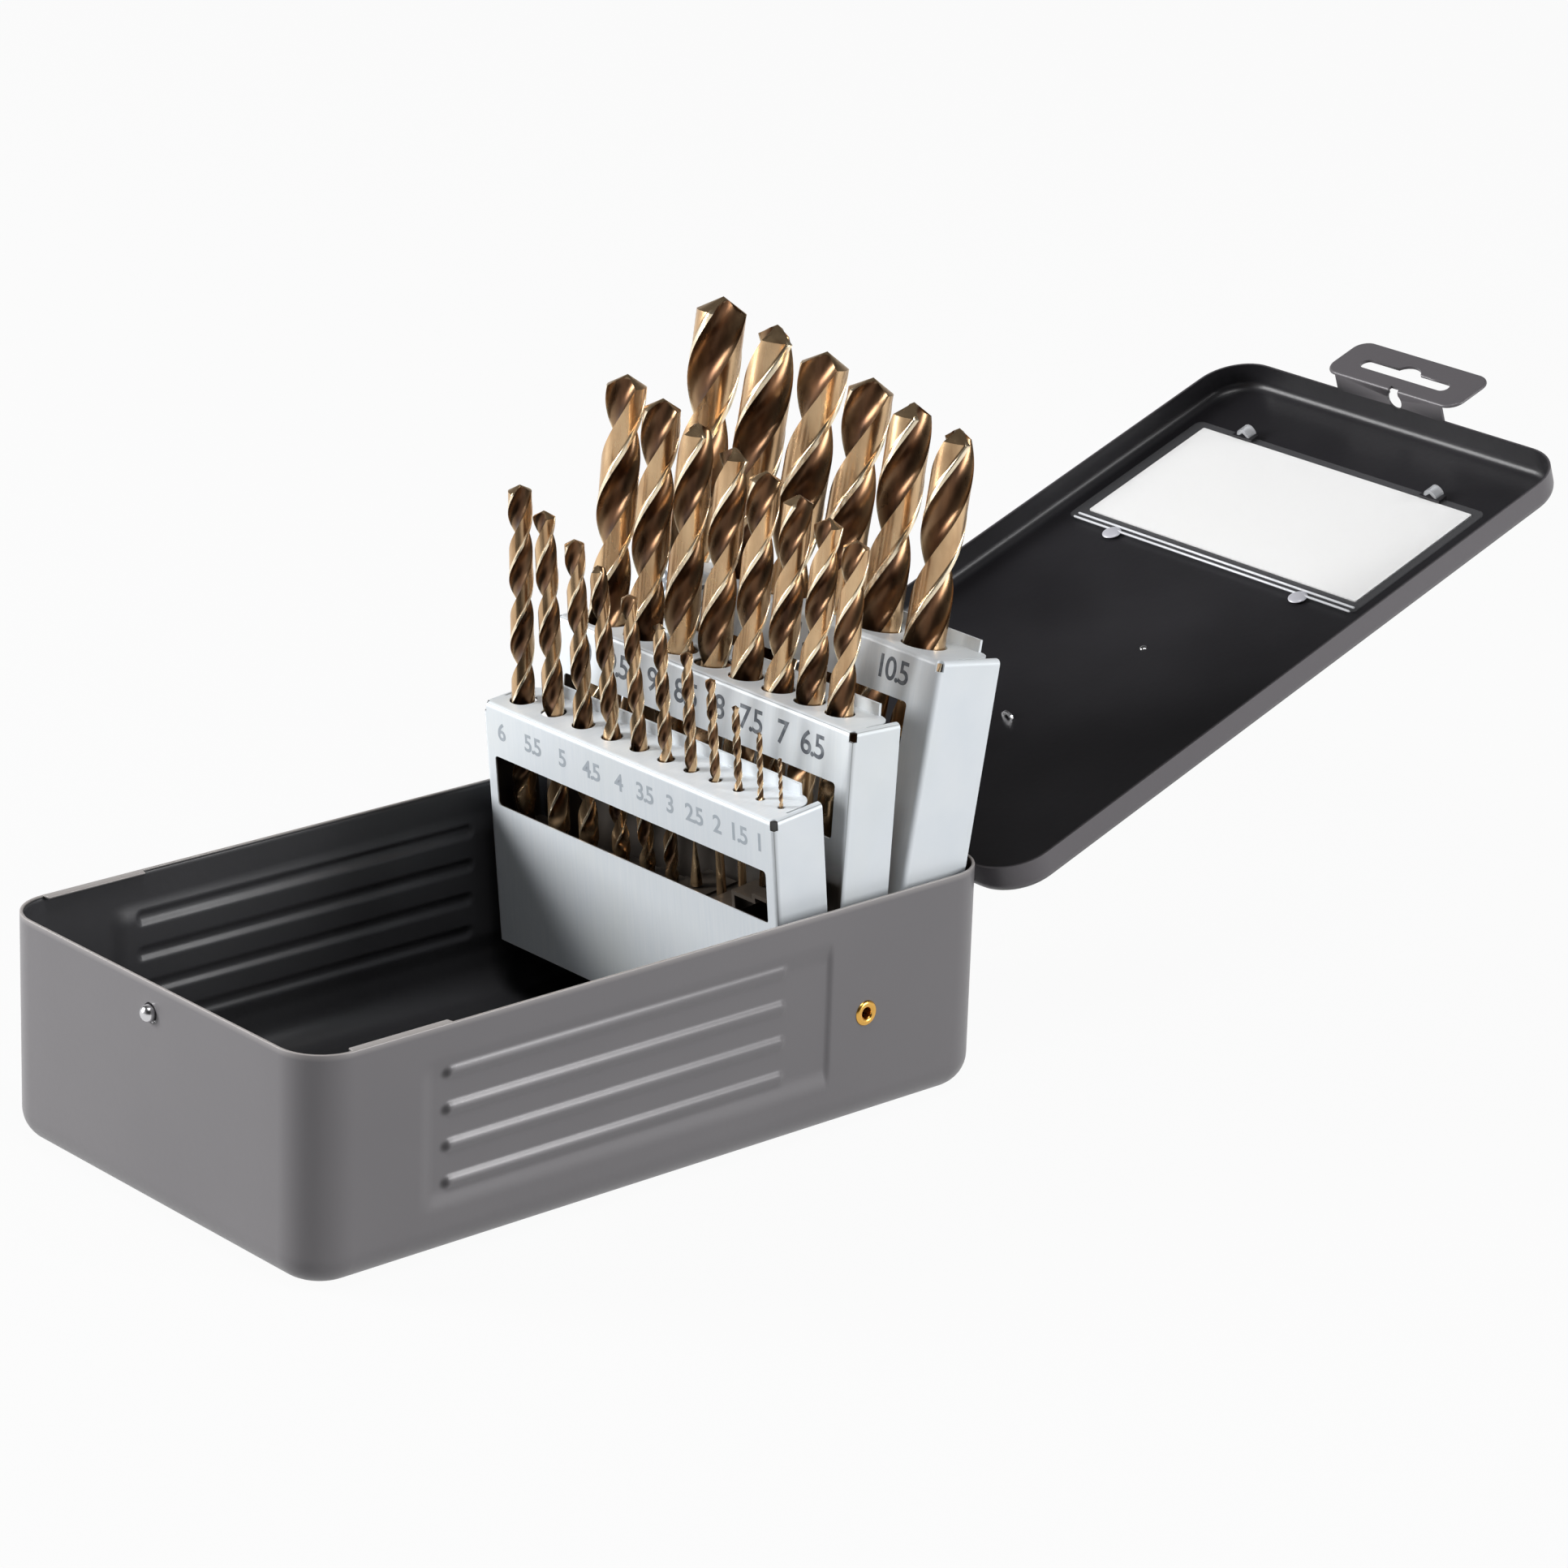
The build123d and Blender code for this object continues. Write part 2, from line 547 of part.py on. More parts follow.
BANKS = [
    Bank("a", lean=-6.0, front=-21.0, rear=-5.6, top=55.0, low=-10.0, window=(27.7, 41.2),
         window_inset=3.7, largest=6.0, count=11, margins=(4.3, 4.8), row=-13.8, tips=(112.4, 67.6),
         back_lean=0.5, side_leans=(3.8, 0.8, 0.6, -2.4, -1.5, 0, 0.5, -0.5, 0.5, 2.0, 1.0),
         inset=2),
    Bank("b", lean=2.6, front=-6.3, rear=8.9, top=69.8, low=14.0, window=(42.0, 56.0),
         window_inset=5.0, largest=10.0, count=8, margins=(6.2, 10.2), row=1.6, tips=(132.7, 112.5),
         back_lean=1.0, side_leans=(0.6, 0.6, 0.8, 1.8, 1.5, 2.0, 2.0, 1.2),
         inset=1, apron=-3.5),
    Bank("c", lean=9.5, front=9.4, rear=29.5, top=85.3, low=-7.5, window=(58.5, 73.0),
         window_inset=9.0, largest=13.0, count=6, margins=(4.2, 10.2), row=18.5, tips=(151.0, 138.5),
         back_lean=-0.9, side_leans=(-1.0, 1.2, 2.2, 2.2, 0.6, 0.8),
         inset=0),
]


def bank_shell(bank):
    """The folded sheet: front panel, top plate and two cheeks with their pivot lugs."""
    frame = bank.frame
    half = bank.half
    with BuildPart() as shell:
        with BuildSketch(frame.plan(bank.low)):
            with Locations((0, bank.middle)):
                Rectangle(2 * half, bank.depth)
        extrude(amount=bank.top - bank.low)
        bottom = shell.faces().sort_by(frame.up())[0]
        rear = shell.faces().sort_by(frame.back())[-1]
        open_edges = bottom.edges() + rear.edges().filter_by(Axis.X) + rear.edges().filter_by(frame.up())
        fillet(ShapeList(e for e in shell.edges() if e not in open_edges), radius=BEND_RADIUS)
        with BuildSketch(frame.plan(bank.low)):
            with Locations((0, bank.middle + BANK_SHEET)):
                Rectangle(2 * (half - BANK_SHEET), bank.depth)
        extrude(amount=bank.top - bank.low - BANK_SHEET, mode=Mode.SUBTRACT)
        if bank.apron is not None:
            # the front panel runs on below, clear of the next bank's lugs
            with BuildSketch(frame.plan(bank.apron)):
                with Locations((0, bank.front)):
                    Rectangle(2 * APRON_HALF, BANK_SHEET, align=(Align.CENTER, Align.MIN))
            extrude(amount=bank.low - bank.apron)
        # upturned lip at the plate's rear edge
        with BuildSketch(frame.plan(bank.top - BANK_SHEET)):
            with Locations((0, bank.rear)):
                Rectangle(2 * (half - REAR_LIP_INSET), BANK_SHEET, align=(Align.CENTER, Align.MAX))
        extrude(amount=REAR_LIP_HEIGHT + BANK_SHEET)
        for hand in (-1, 1):
            corner_x = half - SLIT_INSET - SLIT_WIDTH
            with BuildSketch(frame.plan(bank.top - 2 * BANK_SHEET)):
                # a slit parts the plate from each cheek, and the plate's corner is round
                with Locations((hand * (corner_x + SLIT_WIDTH / 2), bank.rear)):
                    Rectangle(SLIT_WIDTH, SLIT_SHARE * bank.depth, align=(Align.CENTER, Align.MAX))
                with Locations((hand * (corner_x - PLATE_CORNER / 2), bank.rear - PLATE_CORNER / 2)):
                    Rectangle(PLATE_CORNER, PLATE_CORNER)
                with Locations((hand * (corner_x - PLATE_CORNER), bank.rear - PLATE_CORNER)):
                    Circle(PLATE_CORNER, mode=Mode.SUBTRACT)
            extrude(amount=3 * BANK_SHEET, mode=Mode.SUBTRACT)
            # relief hole where the three bends meet
            with BuildSketch(frame.plan(bank.top - 2 * BEND_RADIUS)):
                with Locations((hand * (half - BANK_SHEET), bank.front + BANK_SHEET)):
                    Circle(RELIEF_RADIUS)
            extrude(amount=3 * BEND_RADIUS, mode=Mode.SUBTRACT)
            # each cheek runs on to the pivot as a lug
            with BuildSketch(frame.side(half - BANK_SHEET if hand > 0 else -half)):
                Circle(LUG_RADIUS)
                with Locations((bank.middle, bank.low + LUG_RADIUS)):
                    Rectangle(bank.depth - 2 * BEND_RADIUS, 2 * LUG_RADIUS)
                make_hull()
            extrude(amount=BANK_SHEET)
        with BuildSketch(frame.side(-half)):
            Circle(EYELET_RADIUS + PIVOT_FIT)
        extrude(amount=2 * half, mode=Mode.SUBTRACT)
        # viewing window under the size strip
        with BuildSketch(frame.face(bank.front + 2 * BANK_SHEET)):
            with Locations((0, sum(bank.window) / 2)):
                RectangleRounded(
                    2 * (half - bank.window_inset), bank.window[1] - bank.window[0], WINDOW_CORNER
                )
        extrude(amount=3 * BANK_SHEET, mode=Mode.SUBTRACT)
        for x, size in zip(bank.holes, bank.sizes):
            with BuildSketch(frame.plan(bank.top - 2 * BANK_SHEET)):
                with Locations((x, bank.row)):
                    Circle(size / 2 + HOLE_FIT)
            extrude(amount=3 * BANK_SHEET, mode=Mode.SUBTRACT)
    return shell.part


def bank_shelf(bank):
    """The stepped strip that the drills stand on, one step to a drill."""
    end = bank.half - BANK_SHEET if bank.apron is None else APRON_HALF
    level = [seat - SEAT_GAP - SHELF_THICKNESS / 2 for seat in bank.seats]
    edges = [
        (foot + size / 2 + after - after_size / 2) / 2
        for foot, size, after, after_size in zip(
            bank.feet, bank.sizes, bank.feet[1:], bank.sizes[1:]
        )
    ]
    points = [(-end, level[0])]
    for x, here, there in zip(edges, level, level[1:]):
        points += [(x, here), (x, there)]
    points.append((end, level[-1]))
    with BuildPart() as shelf:
        with BuildSketch(bank.frame.face(bank.front + BANK_SHEET)):
            with BuildLine():
                steps = Polyline(*points)
            trace(steps, line_width=SHELF_THICKNESS)
        extrude(amount=-(bank.depth - BANK_SHEET - SEAT_GAP))
    return shelf.part


# ---------------------------------------------------------------- drills
def drill_stand(bank, number):
    """The plane under a seated drill: its origin on the drill's axis, its normal up the drill."""
    base = bank.frame.base
    size = bank.sizes[number]
    side = bank.side_slopes[number]
    back = bank.back_slope
    lift = SEAT_GAP + size / 2 * (abs(side) + abs(back))
    seat = bank.seats[number] + lift
    fall = bank.top - seat
    foot = (bank.holes[number] - side * fall, bank.row - back * fall, seat)
    return Plane(
        origin=base.from_local_coords(foot),
        x_dir=base.x_dir - base.z_dir * side,
        z_dir=base.z_dir + base.x_dir * side + base.y_dir * back,
    )


def twist_drill(size, stand):
    """A straight-shank twist drill: plain shank, two helical flutes, ground point."""
    radius = size / 2
    length, flute = DRILL_LENGTHS[size]
    shank = length - flute
    lead = pi * size / tan(radians(HELIX_ANGLE))
    shoulder = radius / tan(radians(POINT_HALF_ANGLE))
    with BuildPart() as drill:
        with BuildSketch(stand):
            Circle(radius)
        extrude(amount=shank)
        with BuildSketch(stand.offset(shank)):
            Circle(radius)
            with Locations((0, LAND_SHARE * radius), (0, -LAND_SHARE * radius)):
                Ellipse(
                    FLUTE_WIDTH_SHARE * radius, FLUTE_DEPTH_SHARE * radius, mode=Mode.SUBTRACT
                )
        spine = Line(stand.offset(shank).origin, stand.offset(length).origin)
        guide = Helix(
            pitch=lead, height=flute, radius=size, center=spine @ 0, direction=stand.z_dir
        )
        sweep(path=spine, binormal=guide)
        # grind the point: cut away all that lies outside its cone
        section = Plane(origin=stand.origin, x_dir=stand.x_dir, z_dir=-stand.y_dir)
        with BuildSketch(section):
            with BuildLine():
                Polyline(
                    (0, length),
                    (size, length - 2 * shoulder),
                    (size, length + radius),
                    (0, length + radius),
                    close=True,
                )
            make_face()
        revolve(axis=Axis(stand.origin, stand.z_dir), mode=Mode.SUBTRACT)
    return drill.part


for bank in BANKS:
    write(bank_shell(bank), f"bank_{bank.letter}_shell")
    write(bank_shelf(bank), f"bank_{bank.letter}_shelf")
    for number, size in enumerate(bank.sizes):
        name = f"drill_{size:.1f}".replace(".", "_")
        write(twist_drill(size, drill_stand(bank, number)), name)
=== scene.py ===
import json
from math import atan, cos, pi, radians, sin, tan

import bmesh
import bpy
import numpy as np
from mathutils import Matrix, Vector


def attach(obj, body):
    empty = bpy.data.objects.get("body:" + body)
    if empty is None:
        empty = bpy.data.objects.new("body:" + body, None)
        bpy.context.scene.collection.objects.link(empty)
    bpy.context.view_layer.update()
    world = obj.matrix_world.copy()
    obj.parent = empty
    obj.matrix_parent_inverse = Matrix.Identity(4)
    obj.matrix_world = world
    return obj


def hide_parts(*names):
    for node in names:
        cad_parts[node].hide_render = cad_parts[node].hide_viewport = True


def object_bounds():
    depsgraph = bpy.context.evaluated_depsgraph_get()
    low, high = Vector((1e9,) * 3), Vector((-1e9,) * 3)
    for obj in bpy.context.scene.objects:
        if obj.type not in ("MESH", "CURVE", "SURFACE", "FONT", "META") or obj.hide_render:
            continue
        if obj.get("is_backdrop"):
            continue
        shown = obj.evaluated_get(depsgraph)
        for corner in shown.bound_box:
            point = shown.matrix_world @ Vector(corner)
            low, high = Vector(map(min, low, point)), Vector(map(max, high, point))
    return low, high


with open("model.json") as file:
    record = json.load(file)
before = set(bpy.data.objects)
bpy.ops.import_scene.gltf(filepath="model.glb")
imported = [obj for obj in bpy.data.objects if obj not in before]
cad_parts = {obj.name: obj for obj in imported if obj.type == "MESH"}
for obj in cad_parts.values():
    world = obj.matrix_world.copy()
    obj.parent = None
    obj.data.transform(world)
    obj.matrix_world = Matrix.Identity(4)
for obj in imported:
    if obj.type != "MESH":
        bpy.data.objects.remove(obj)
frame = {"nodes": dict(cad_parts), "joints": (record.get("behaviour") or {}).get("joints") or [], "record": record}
cad_box = [list(corner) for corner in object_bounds()]

# A steel case for 25 twist drills, open, with its three banks fanned out.
# Lengths below are millimetres in the case's own frame; meshes are written in metres.
MM = 0.001
X_AXIS = np.array([1.0, 0.0, 0.0])

# Base
SHEET = 0.8
CASE_HALF = np.array([60.0, 103.5])
CASE_HEIGHT = 57.3
CORNER = 12.0
FLOOR_EDGE = 8.0
FLOOR_RINGS = np.array([0.0, 0.25, 0.6, 0.9])
RIM_SOFT = 0.25
RIM_BEND = 0.07
PANEL_Y = (-73.0, 51.5)
PANEL_Z = (11.5, 50.0)
PANEL_DEPTH = 0.9
PANEL_FADE = (5.0, 1.4, 6.0)
RIB_Y = (-65.3, 37.3)
RIB_HEIGHTS = (45.4, 36.4, 27.4, 18.4)
RIB_RADIUS = 1.6
RIB_RISE = 0.7
RIB_FOOT = 0.4
RIB_SLOPE = 1.7
RIB_LEAN = 0.8
# painted highlight along each rib's upper flank: its band about the rib's centre and its fade towards the rear
RIB_HIGHLIGHT_Z = (-0.5, 2.1)
RIB_HIGHLIGHT_FADE = 90.0
# radius of the painted shade spot at each rib's front end
RIB_SHADE_RADIUS = 1.9
RIM_LIP_Y = (-91.3, -63.3)
RIM_LIP = 2.5
BUTTON_HEIGHT = 49.9
BUTTON_RADIUS = 2.1
BUTTON_NECK = 1.7
BUTTON_FOOT = -102.5
BUTTON_FIT = 0.4
PUNCH_LENGTH = 3.0

# Pivot
PIVOT = np.array([0.0, 62.6, 28.6])
EYELET_BORE = 1.4
EYELET_RADIUS = 2.0
EYELET_FLANGE = 3.2
EYELET_FLANGE_THICKNESS = 0.6
CHEEK_INSIDE = 53.5
PLAY = 0.1
ROLL = 0.97
SKIN = 0.02

# Lid: local s runs from the hinge to the far end, local h out of the dish
HINGE = np.array([0.0, 106.2, 52.0])
LID_OPEN = 160.0
LID_FLOOR = -7.5
LID_HALF = np.array([61.0, 104.5])
LID_CORNER = 13.0
FILM_X = (-52.0, 48.8)
FILM_HEM = (136.5, 138.3)
FILM_END = 188.6
FILM_TOP = 0.7
HEM_RADIUS = 0.32
CLIP_RADIUS = 2.2
CLIP_LENGTH = 3.0
CLIP_SHEET = 0.5
STUD_S = 135.4
STUD_X = (-36.6, 31.4)
STUD_NECK = (0.9, 0.8)
STUD_HEAD = (2.6, 0.68)
LID_SPOT = (9.7, 99.6)
SPOT_SIZE = (1.0, 0.45)
LID_TAB = (-0.2, 59.0)
TAB_RADIUS = 1.9
TAB_SHEET = 0.6

# Banks: lean back in degrees, front face, strip of numerals (low, high), numeral height
BANKS = {
    "a": dict(lean=-6.0, front=-21.0, half=54.2, strip=(41.2, 55.0), tall=6.4, sizes=(6.0, 11)),
    "b": dict(lean=2.6, front=-6.3, half=55.2, strip=(56.0, 69.8), tall=8.4, sizes=(10.0, 8),
              # behind: the heights on bank b below which it gets painted shade, fading in between
              behind=(30.0, 46.0)),
    "c": dict(lean=9.5, front=9.4, half=56.2, strip=(73.0, 85.3), tall=8.0, sizes=(13.0, 6)),
}

# Drills: overall length and flute length by diameter
DRILLS = {
    13.0: (151, 101), 12.5: (151, 101), 12.0: (151, 101), 11.5: (142, 94),
    11.0: (142, 94), 10.5: (133, 87), 10.0: (133, 87), 9.5: (125, 81),
    9.0: (125, 81), 8.5: (117, 75), 8.0: (117, 75), 7.5: (109, 69),
    7.0: (109, 69), 6.5: (101, 63), 6.0: (93, 57), 5.5: (93, 57),
    5.0: (86, 52), 4.5: (80, 47), 4.0: (75, 43), 3.5: (70, 39),
    3.0: (61, 33), 2.5: (57, 30), 2.0: (49, 24), 1.5: (40, 18), 1.0: (34, 12),
}
HELIX_ANGLE = 28.0
POINT_HALF_ANGLE = 59.0
FLUTE_SET = 0.78
FLUTE_ACROSS = 0.8
FLUTE_DEEP = 0.58
FLUTE_START = 0.2
FLUTE_GROWTH = 1.3
MARGIN_FROM = 0.80
MARGIN_EDGE = 0.03
LAND_RELIEF = 0.035
SHANK_CHAMFER = 0.06
POINT_RINGS = np.array([0.72, 0.42, 0.16, 0.0])
LONG_FLUTED = (3.5, 6.0)
FLUTE_RUN_ON = 26.0
DRILL_TURN = (5.1, 1.6)

# Camera: focal length and lens shift in pixels of a frame this wide; metres and degrees
FRAME_WIDTH = 1932
FOCAL_LENGTH = 7149.35
LENS_SHIFT = (66.45, -16.79)
SENSOR_WIDTH = 36
CAMERA_TURN, CAMERA_RISE, CAMERA_ROLL = 48.32, 19.77, 1.775
CAMERA_AIM = np.array([0.063408, 0.013787, 0.101578])
CAMERA_AWAY = 1.32706


# ---------------------------------------------------------------- shapes
def smooth(t):
    """0 below 0, 1 above 1, and 3t^2 - 2t^3 between."""
    t = np.clip(t, 0.0, 1.0)
    return t * t * (3 - 2 * t)


def pressed_box(t, low, high, soft):
    """0 outside low and high, rising smoothly to 1 over the width soft within them."""
    return smooth((t - low) / soft) * smooth((high - t) / soft)


def unit(vector):
    """The vector's direction, one long."""
    vector = np.array(vector, float)
    return vector / np.linalg.norm(vector)


def round_axis(up):
    """Two directions square to up and to each other, the first as near to X as can be."""
    side = unit(np.cross(up, X_AXIS))
    return np.cross(side, up), side


def leaning(origin, lean):
    """The point function of a frame that leans back by lean degrees about X: (x, back, up)."""
    back = np.array([0.0, cos(radians(lean)), -sin(radians(lean))])
    up = np.array([0.0, sin(radians(lean)), cos(radians(lean))])

    def point(x, along, height):
        x, along, height = np.broadcast_arrays(x, along, height)
        return origin + x[..., None] * X_AXIS + along[..., None] * back + height[..., None] * up

    return point


lid_point = leaning(HINGE, LID_OPEN - 180.0)


def skin(rows, columns, around):
    """The quads between neighbours of a rows by columns grid, closed round each row if around."""
    index = np.arange(rows * columns).reshape(rows, columns)
    if around:
        index = np.concatenate([index, index[:, :1]], axis=1)
    corners = [index[:-1, :-1], index[:-1, 1:], index[1:, 1:], index[1:, :-1]]
    return np.stack(corners, axis=-1).reshape(-1, 4)


def mesh_of(name, grids):
    """One mesh from grids of points, each (points, around, marks): doubles merged, faces outward.
    marks holds the grid's values of each named vertex attribute."""
    names = sorted({key for _, _, marks in grids for key in marks})
    points, faces, marks_of, start = [], [], {key: [] for key in names}, 0
    for grid, around, marks in grids:
        rows, columns = grid.shape[:2]
        points.append(grid.reshape(-1, 3) * MM)
        faces.append(skin(rows, columns, around) + start)
        for key in names:
            value = np.broadcast_to(marks.get(key, 0.0), (rows, columns))
            marks_of[key].append(value.reshape(-1))
        start += rows * columns
    mesh = bpy.data.meshes.new(name)
    mesh.from_pydata(np.concatenate(points), [], np.concatenate(faces))
    for key in names:
        layer = mesh.attributes.new(key, "FLOAT", "POINT")
        layer.data.foreach_set("value", np.concatenate(marks_of[key]).astype(np.float32))
    return tidied(mesh, 2e-6)


def tidied(mesh, reach):
    """The mesh with doubles within reach merged, empty faces gone and its faces turned outward."""
    work = bmesh.new()
    work.from_mesh(mesh)
    bmesh.ops.remove_doubles(work, verts=work.verts, dist=reach)
    bmesh.ops.dissolve_degenerate(work, edges=work.edges, dist=reach / 2)
    bmesh.ops.recalc_face_normals(work, faces=work.faces)
    work.to_mesh(mesh)
    work.free()
    return mesh


def piece(name, mesh, body, finish, crease=35.0, stands_for=()):
    """The mesh as an object that rides on a body, smooth but for edges sharper than crease."""
    mesh.shade_smooth()
    mesh.set_sharp_from_angle(angle=radians(crease))
    thing = bpy.data.objects.new(name, mesh)
    bpy.context.scene.collection.objects.link(thing)
    thing.data.materials.clear()
    thing.data.materials.append(finish)
    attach(thing, body)
    if stands_for:
        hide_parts(*stands_for)
    return thing


def turned(profile, origin, axis, count=40):
    """A profile of (radius, distance along the axis) turned round the axis, as one closed grid."""
    axis = unit(axis)
    first = unit(np.cross(axis, X_AXIS if abs(axis[0]) < 0.9 else [0.0, 1.0, 0.0]))
    second = np.cross(axis, first)
    profile = np.array(profile, float)
    angle = np.arange(count) * 2 * pi / count
    ring = np.cos(angle)[:, None] * first + np.sin(angle)[:, None] * second
    return origin + profile[:, 0, None, None] * ring + profile[:, 1, None, None] * axis


def rounded_loop(half, radius, long_side, short_side, arc):
    """A rounded rectangle's points and outward directions, counterclockwise from its +X side.
    long_side and short_side are the sample places along its straight sides."""
    turn = np.arange(1, arc) * (pi / 2) / arc
    points, out = [], []
    sides = [
        (0, long_side, lambda t: np.stack([np.full_like(t, half[0]), t], -1)),
        (1, short_side[::-1], lambda t: np.stack([t, np.full_like(t, half[1])], -1)),
        (2, long_side[::-1], lambda t: np.stack([np.full_like(t, -half[0]), t], -1)),
        (3, short_side, lambda t: np.stack([t, np.full_like(t, -half[1])], -1)),
    ]
    for quarter, places, line in sides:
        start = quarter * pi / 2
        points.append(line(places))
        out.append(np.tile([cos(start), sin(start)], (len(places), 1)))
        middle = (half - radius) * np.sign([cos(start + pi / 4), sin(start + pi / 4)])
        bend = np.stack([np.cos(start + turn), np.sin(start + turn)], -1)
        points.append(middle + radius * bend)
        out.append(bend)
    return np.concatenate(points), np.concatenate(out)


def base_grid():
    """The pressed base as one closed grid. Each row is the rounded rectangle, moved in by the
    row's inset, and rows run from the middle of the underside, up the outside, over the rim and
    down the inside. The long sides are moved in by the depth of the panel, less the ribs' rise."""
    straight = CASE_HALF - CORNER
    fine = [
        np.arange(edge - 3.0, edge + 3.2, 0.45) for edge in (*PANEL_Y, *RIB_Y)
    ] + [edge + np.array([-0.2, 0.2]) for edge in RIM_LIP_Y]
    long_side = np.unique(
        np.round(np.concatenate([np.linspace(-straight[1], straight[1], 34), *fine]), 3)
    )
    short_side = np.linspace(-straight[0], straight[0], 12)
    loop, out = rounded_loop(CASE_HALF, CORNER, long_side, short_side, 14)

    bend = np.linspace(0, pi / 2, 12)
    wall = np.unique(np.round(np.concatenate([
        np.arange(PANEL_Z[0] - 2.0, PANEL_Z[1] + 2.2, 0.42), [FLOOR_EDGE + 0.6, CASE_HEIGHT - 1.6],
    ]), 3))

    def rows(thick, within):
        """One face's rows, by the columns of over: inset, height, lip, inside, and the rim mark for paint wear
        down to the steel with a painted highlight.
        """
        curve = FLOOR_EDGE - (FLOOR_EDGE - thick) * np.stack([np.sin(bend), np.cos(bend)], -1)
        face = np.concatenate([curve, np.stack([np.full(len(wall), thick), wall], -1)])
        return np.concatenate([face, np.tile([0, within, 0], (len(face), 1))], -1)

    # over the rim: inset, height from the rim, share of the lip, inside, and the rim mark (paint wear down to the
    # steel and painted highlight)
    soft, bent = RIM_SOFT, RIM_BEND
    over = np.array([
        [0, -soft, 0, 0, 0.4],
        [bent, -bent, 0, 0, 1],
        [soft, 0, 0, 0, 1],
        [SHEET - soft, 0, 1, 0, 1],
        [SHEET - bent, -bent, 1, 1, 1],
        [SHEET, -soft, 1, 1, 0.4],
        [SHEET, soft - SHEET, 1, 1, 0],
        [SHEET - 0.05, bent - SHEET, 1, 1, 0],
        [SHEET, -SHEET - SKIN, 0, 1, 0],
    ])
    over[:, 1] += CASE_HEIGHT
    inset, height, lipped, inner, rim = np.concatenate(
        [rows(0.0, 0), over, rows(SHEET, 1)[::-1]]).T

    y, z = loop[None, :, 1], height[:, None]
    side = (np.abs(out[:, 0]) > 0.999)[None, :]
    front_fade, rear_fade, edge_fade = PANEL_FADE
    along = smooth((y - PANEL_Y[0]) / front_fade) * smooth((PANEL_Y[1] - y) / rear_fade)
    depth = PANEL_DEPTH * along * pressed_box(z, *PANEL_Z, edge_fade)
    rubbed = sooty = np.zeros((len(height), len(loop)))
    for rib_height in RIB_HEIGHTS:
        beyond = np.maximum(0, np.maximum(RIB_Y[0] + RIB_RADIUS - y, y - RIB_Y[1] + RIB_RADIUS))
        rise = z - rib_height
        away = np.hypot(beyond, np.where(rise < 0, RIB_LEAN * rise, rise))
        depth = depth - RIB_RISE * smooth((RIB_RADIUS + RIB_FOOT - away) / RIB_SLOPE)
        # painted highlight: lighter paint on each rib's upper flank, fading out towards the rear
        highlight_along = smooth((y - RIB_Y[0] - 1.2) / 2.0) * smooth((RIB_Y[1] - y) / RIB_HIGHLIGHT_FADE)
        rubbed = rubbed + highlight_along * pressed_box(rise, *RIB_HIGHLIGHT_Z, 1.1)
        # painted shade: a dark spot at the front end of each rib
        sooty = sooty + smooth((RIB_SHADE_RADIUS - np.hypot(y - RIB_Y[0] - 0.3, rise + 0.2)) / 1.6)
    ledge = pressed_box(y, RIM_LIP_Y[0] - 0.2, RIM_LIP_Y[1] + 0.2, 0.4) * (RIM_LIP - SHEET)
    moved = inset[:, None] + side * (depth + lipped[:, None] * ledge)
    plan = loop[None] - moved[..., None] * out[None]
    wallrows = np.concatenate([plan, np.broadcast_to(z[..., None], plan.shape[:2] + (1,))], -1)

    def floor(row):
        flat = row[None] * FLOOR_RINGS[:, None, None]
        flat[..., 2] = row[0, 2]
        return flat

    def with_floors(mark, inside=0.0):
        """A mark on the walls' rows, with its value on the floor's rows below and inside."""
        below = np.zeros((len(FLOOR_RINGS), mark.shape[1]))
        return np.concatenate([below, mark, below + inside])

    grid = np.concatenate([floor(wallrows[0]), wallrows, floor(wallrows[-1])[::-1]])
    marks = {
        "inside": with_floors(inner[:, None], 1.0),
        "bare": with_floors(rim[:, None]),
        "rubbed": with_floors(rubbed * side),
        "sooty": with_floors(sooty * side),
    }
    return grid, marks


def cut_round(mesh, cuts):
    """The mesh with round holes cut through it: (point, axis, radius, length) each."""
    thing = bpy.data.objects.new("blank", mesh)
    bpy.context.scene.collection.objects.link(thing)
    rods = []
    for point, axis, radius, length in cuts:
        outline = [(0, 0), (radius, 0), (radius, length), (0, length)]
        rods.append((turned(outline, np.array(point), axis, 48), True, {}))
    tool = bpy.data.objects.new("punch", mesh_of("punch", rods))
    bpy.context.scene.collection.objects.link(tool)
    hole = thing.modifiers.new("punch", "BOOLEAN")
    hole.object = tool
    hole.operation = "DIFFERENCE"
    hole.solver = "EXACT"
    ready = thing.evaluated_get(bpy.context.evaluated_depsgraph_get())
    result = bpy.data.meshes.new_from_object(ready)
    for spare in (thing, tool):
        bpy.data.objects.remove(spare)
    return result


def flute_meets_land():
    """The angle on the flute's ellipse where it meets the drill's unit circle, by halving."""
    low, high = -pi / 2, 0.0
    for _ in range(50):
        middle = (low + high) / 2
        reach = (FLUTE_ACROSS * cos(middle)) ** 2 + (FLUTE_SET + FLUTE_DEEP * sin(middle)) ** 2
        if reach < 1:
            low = middle
        else:
            high = middle
    return low


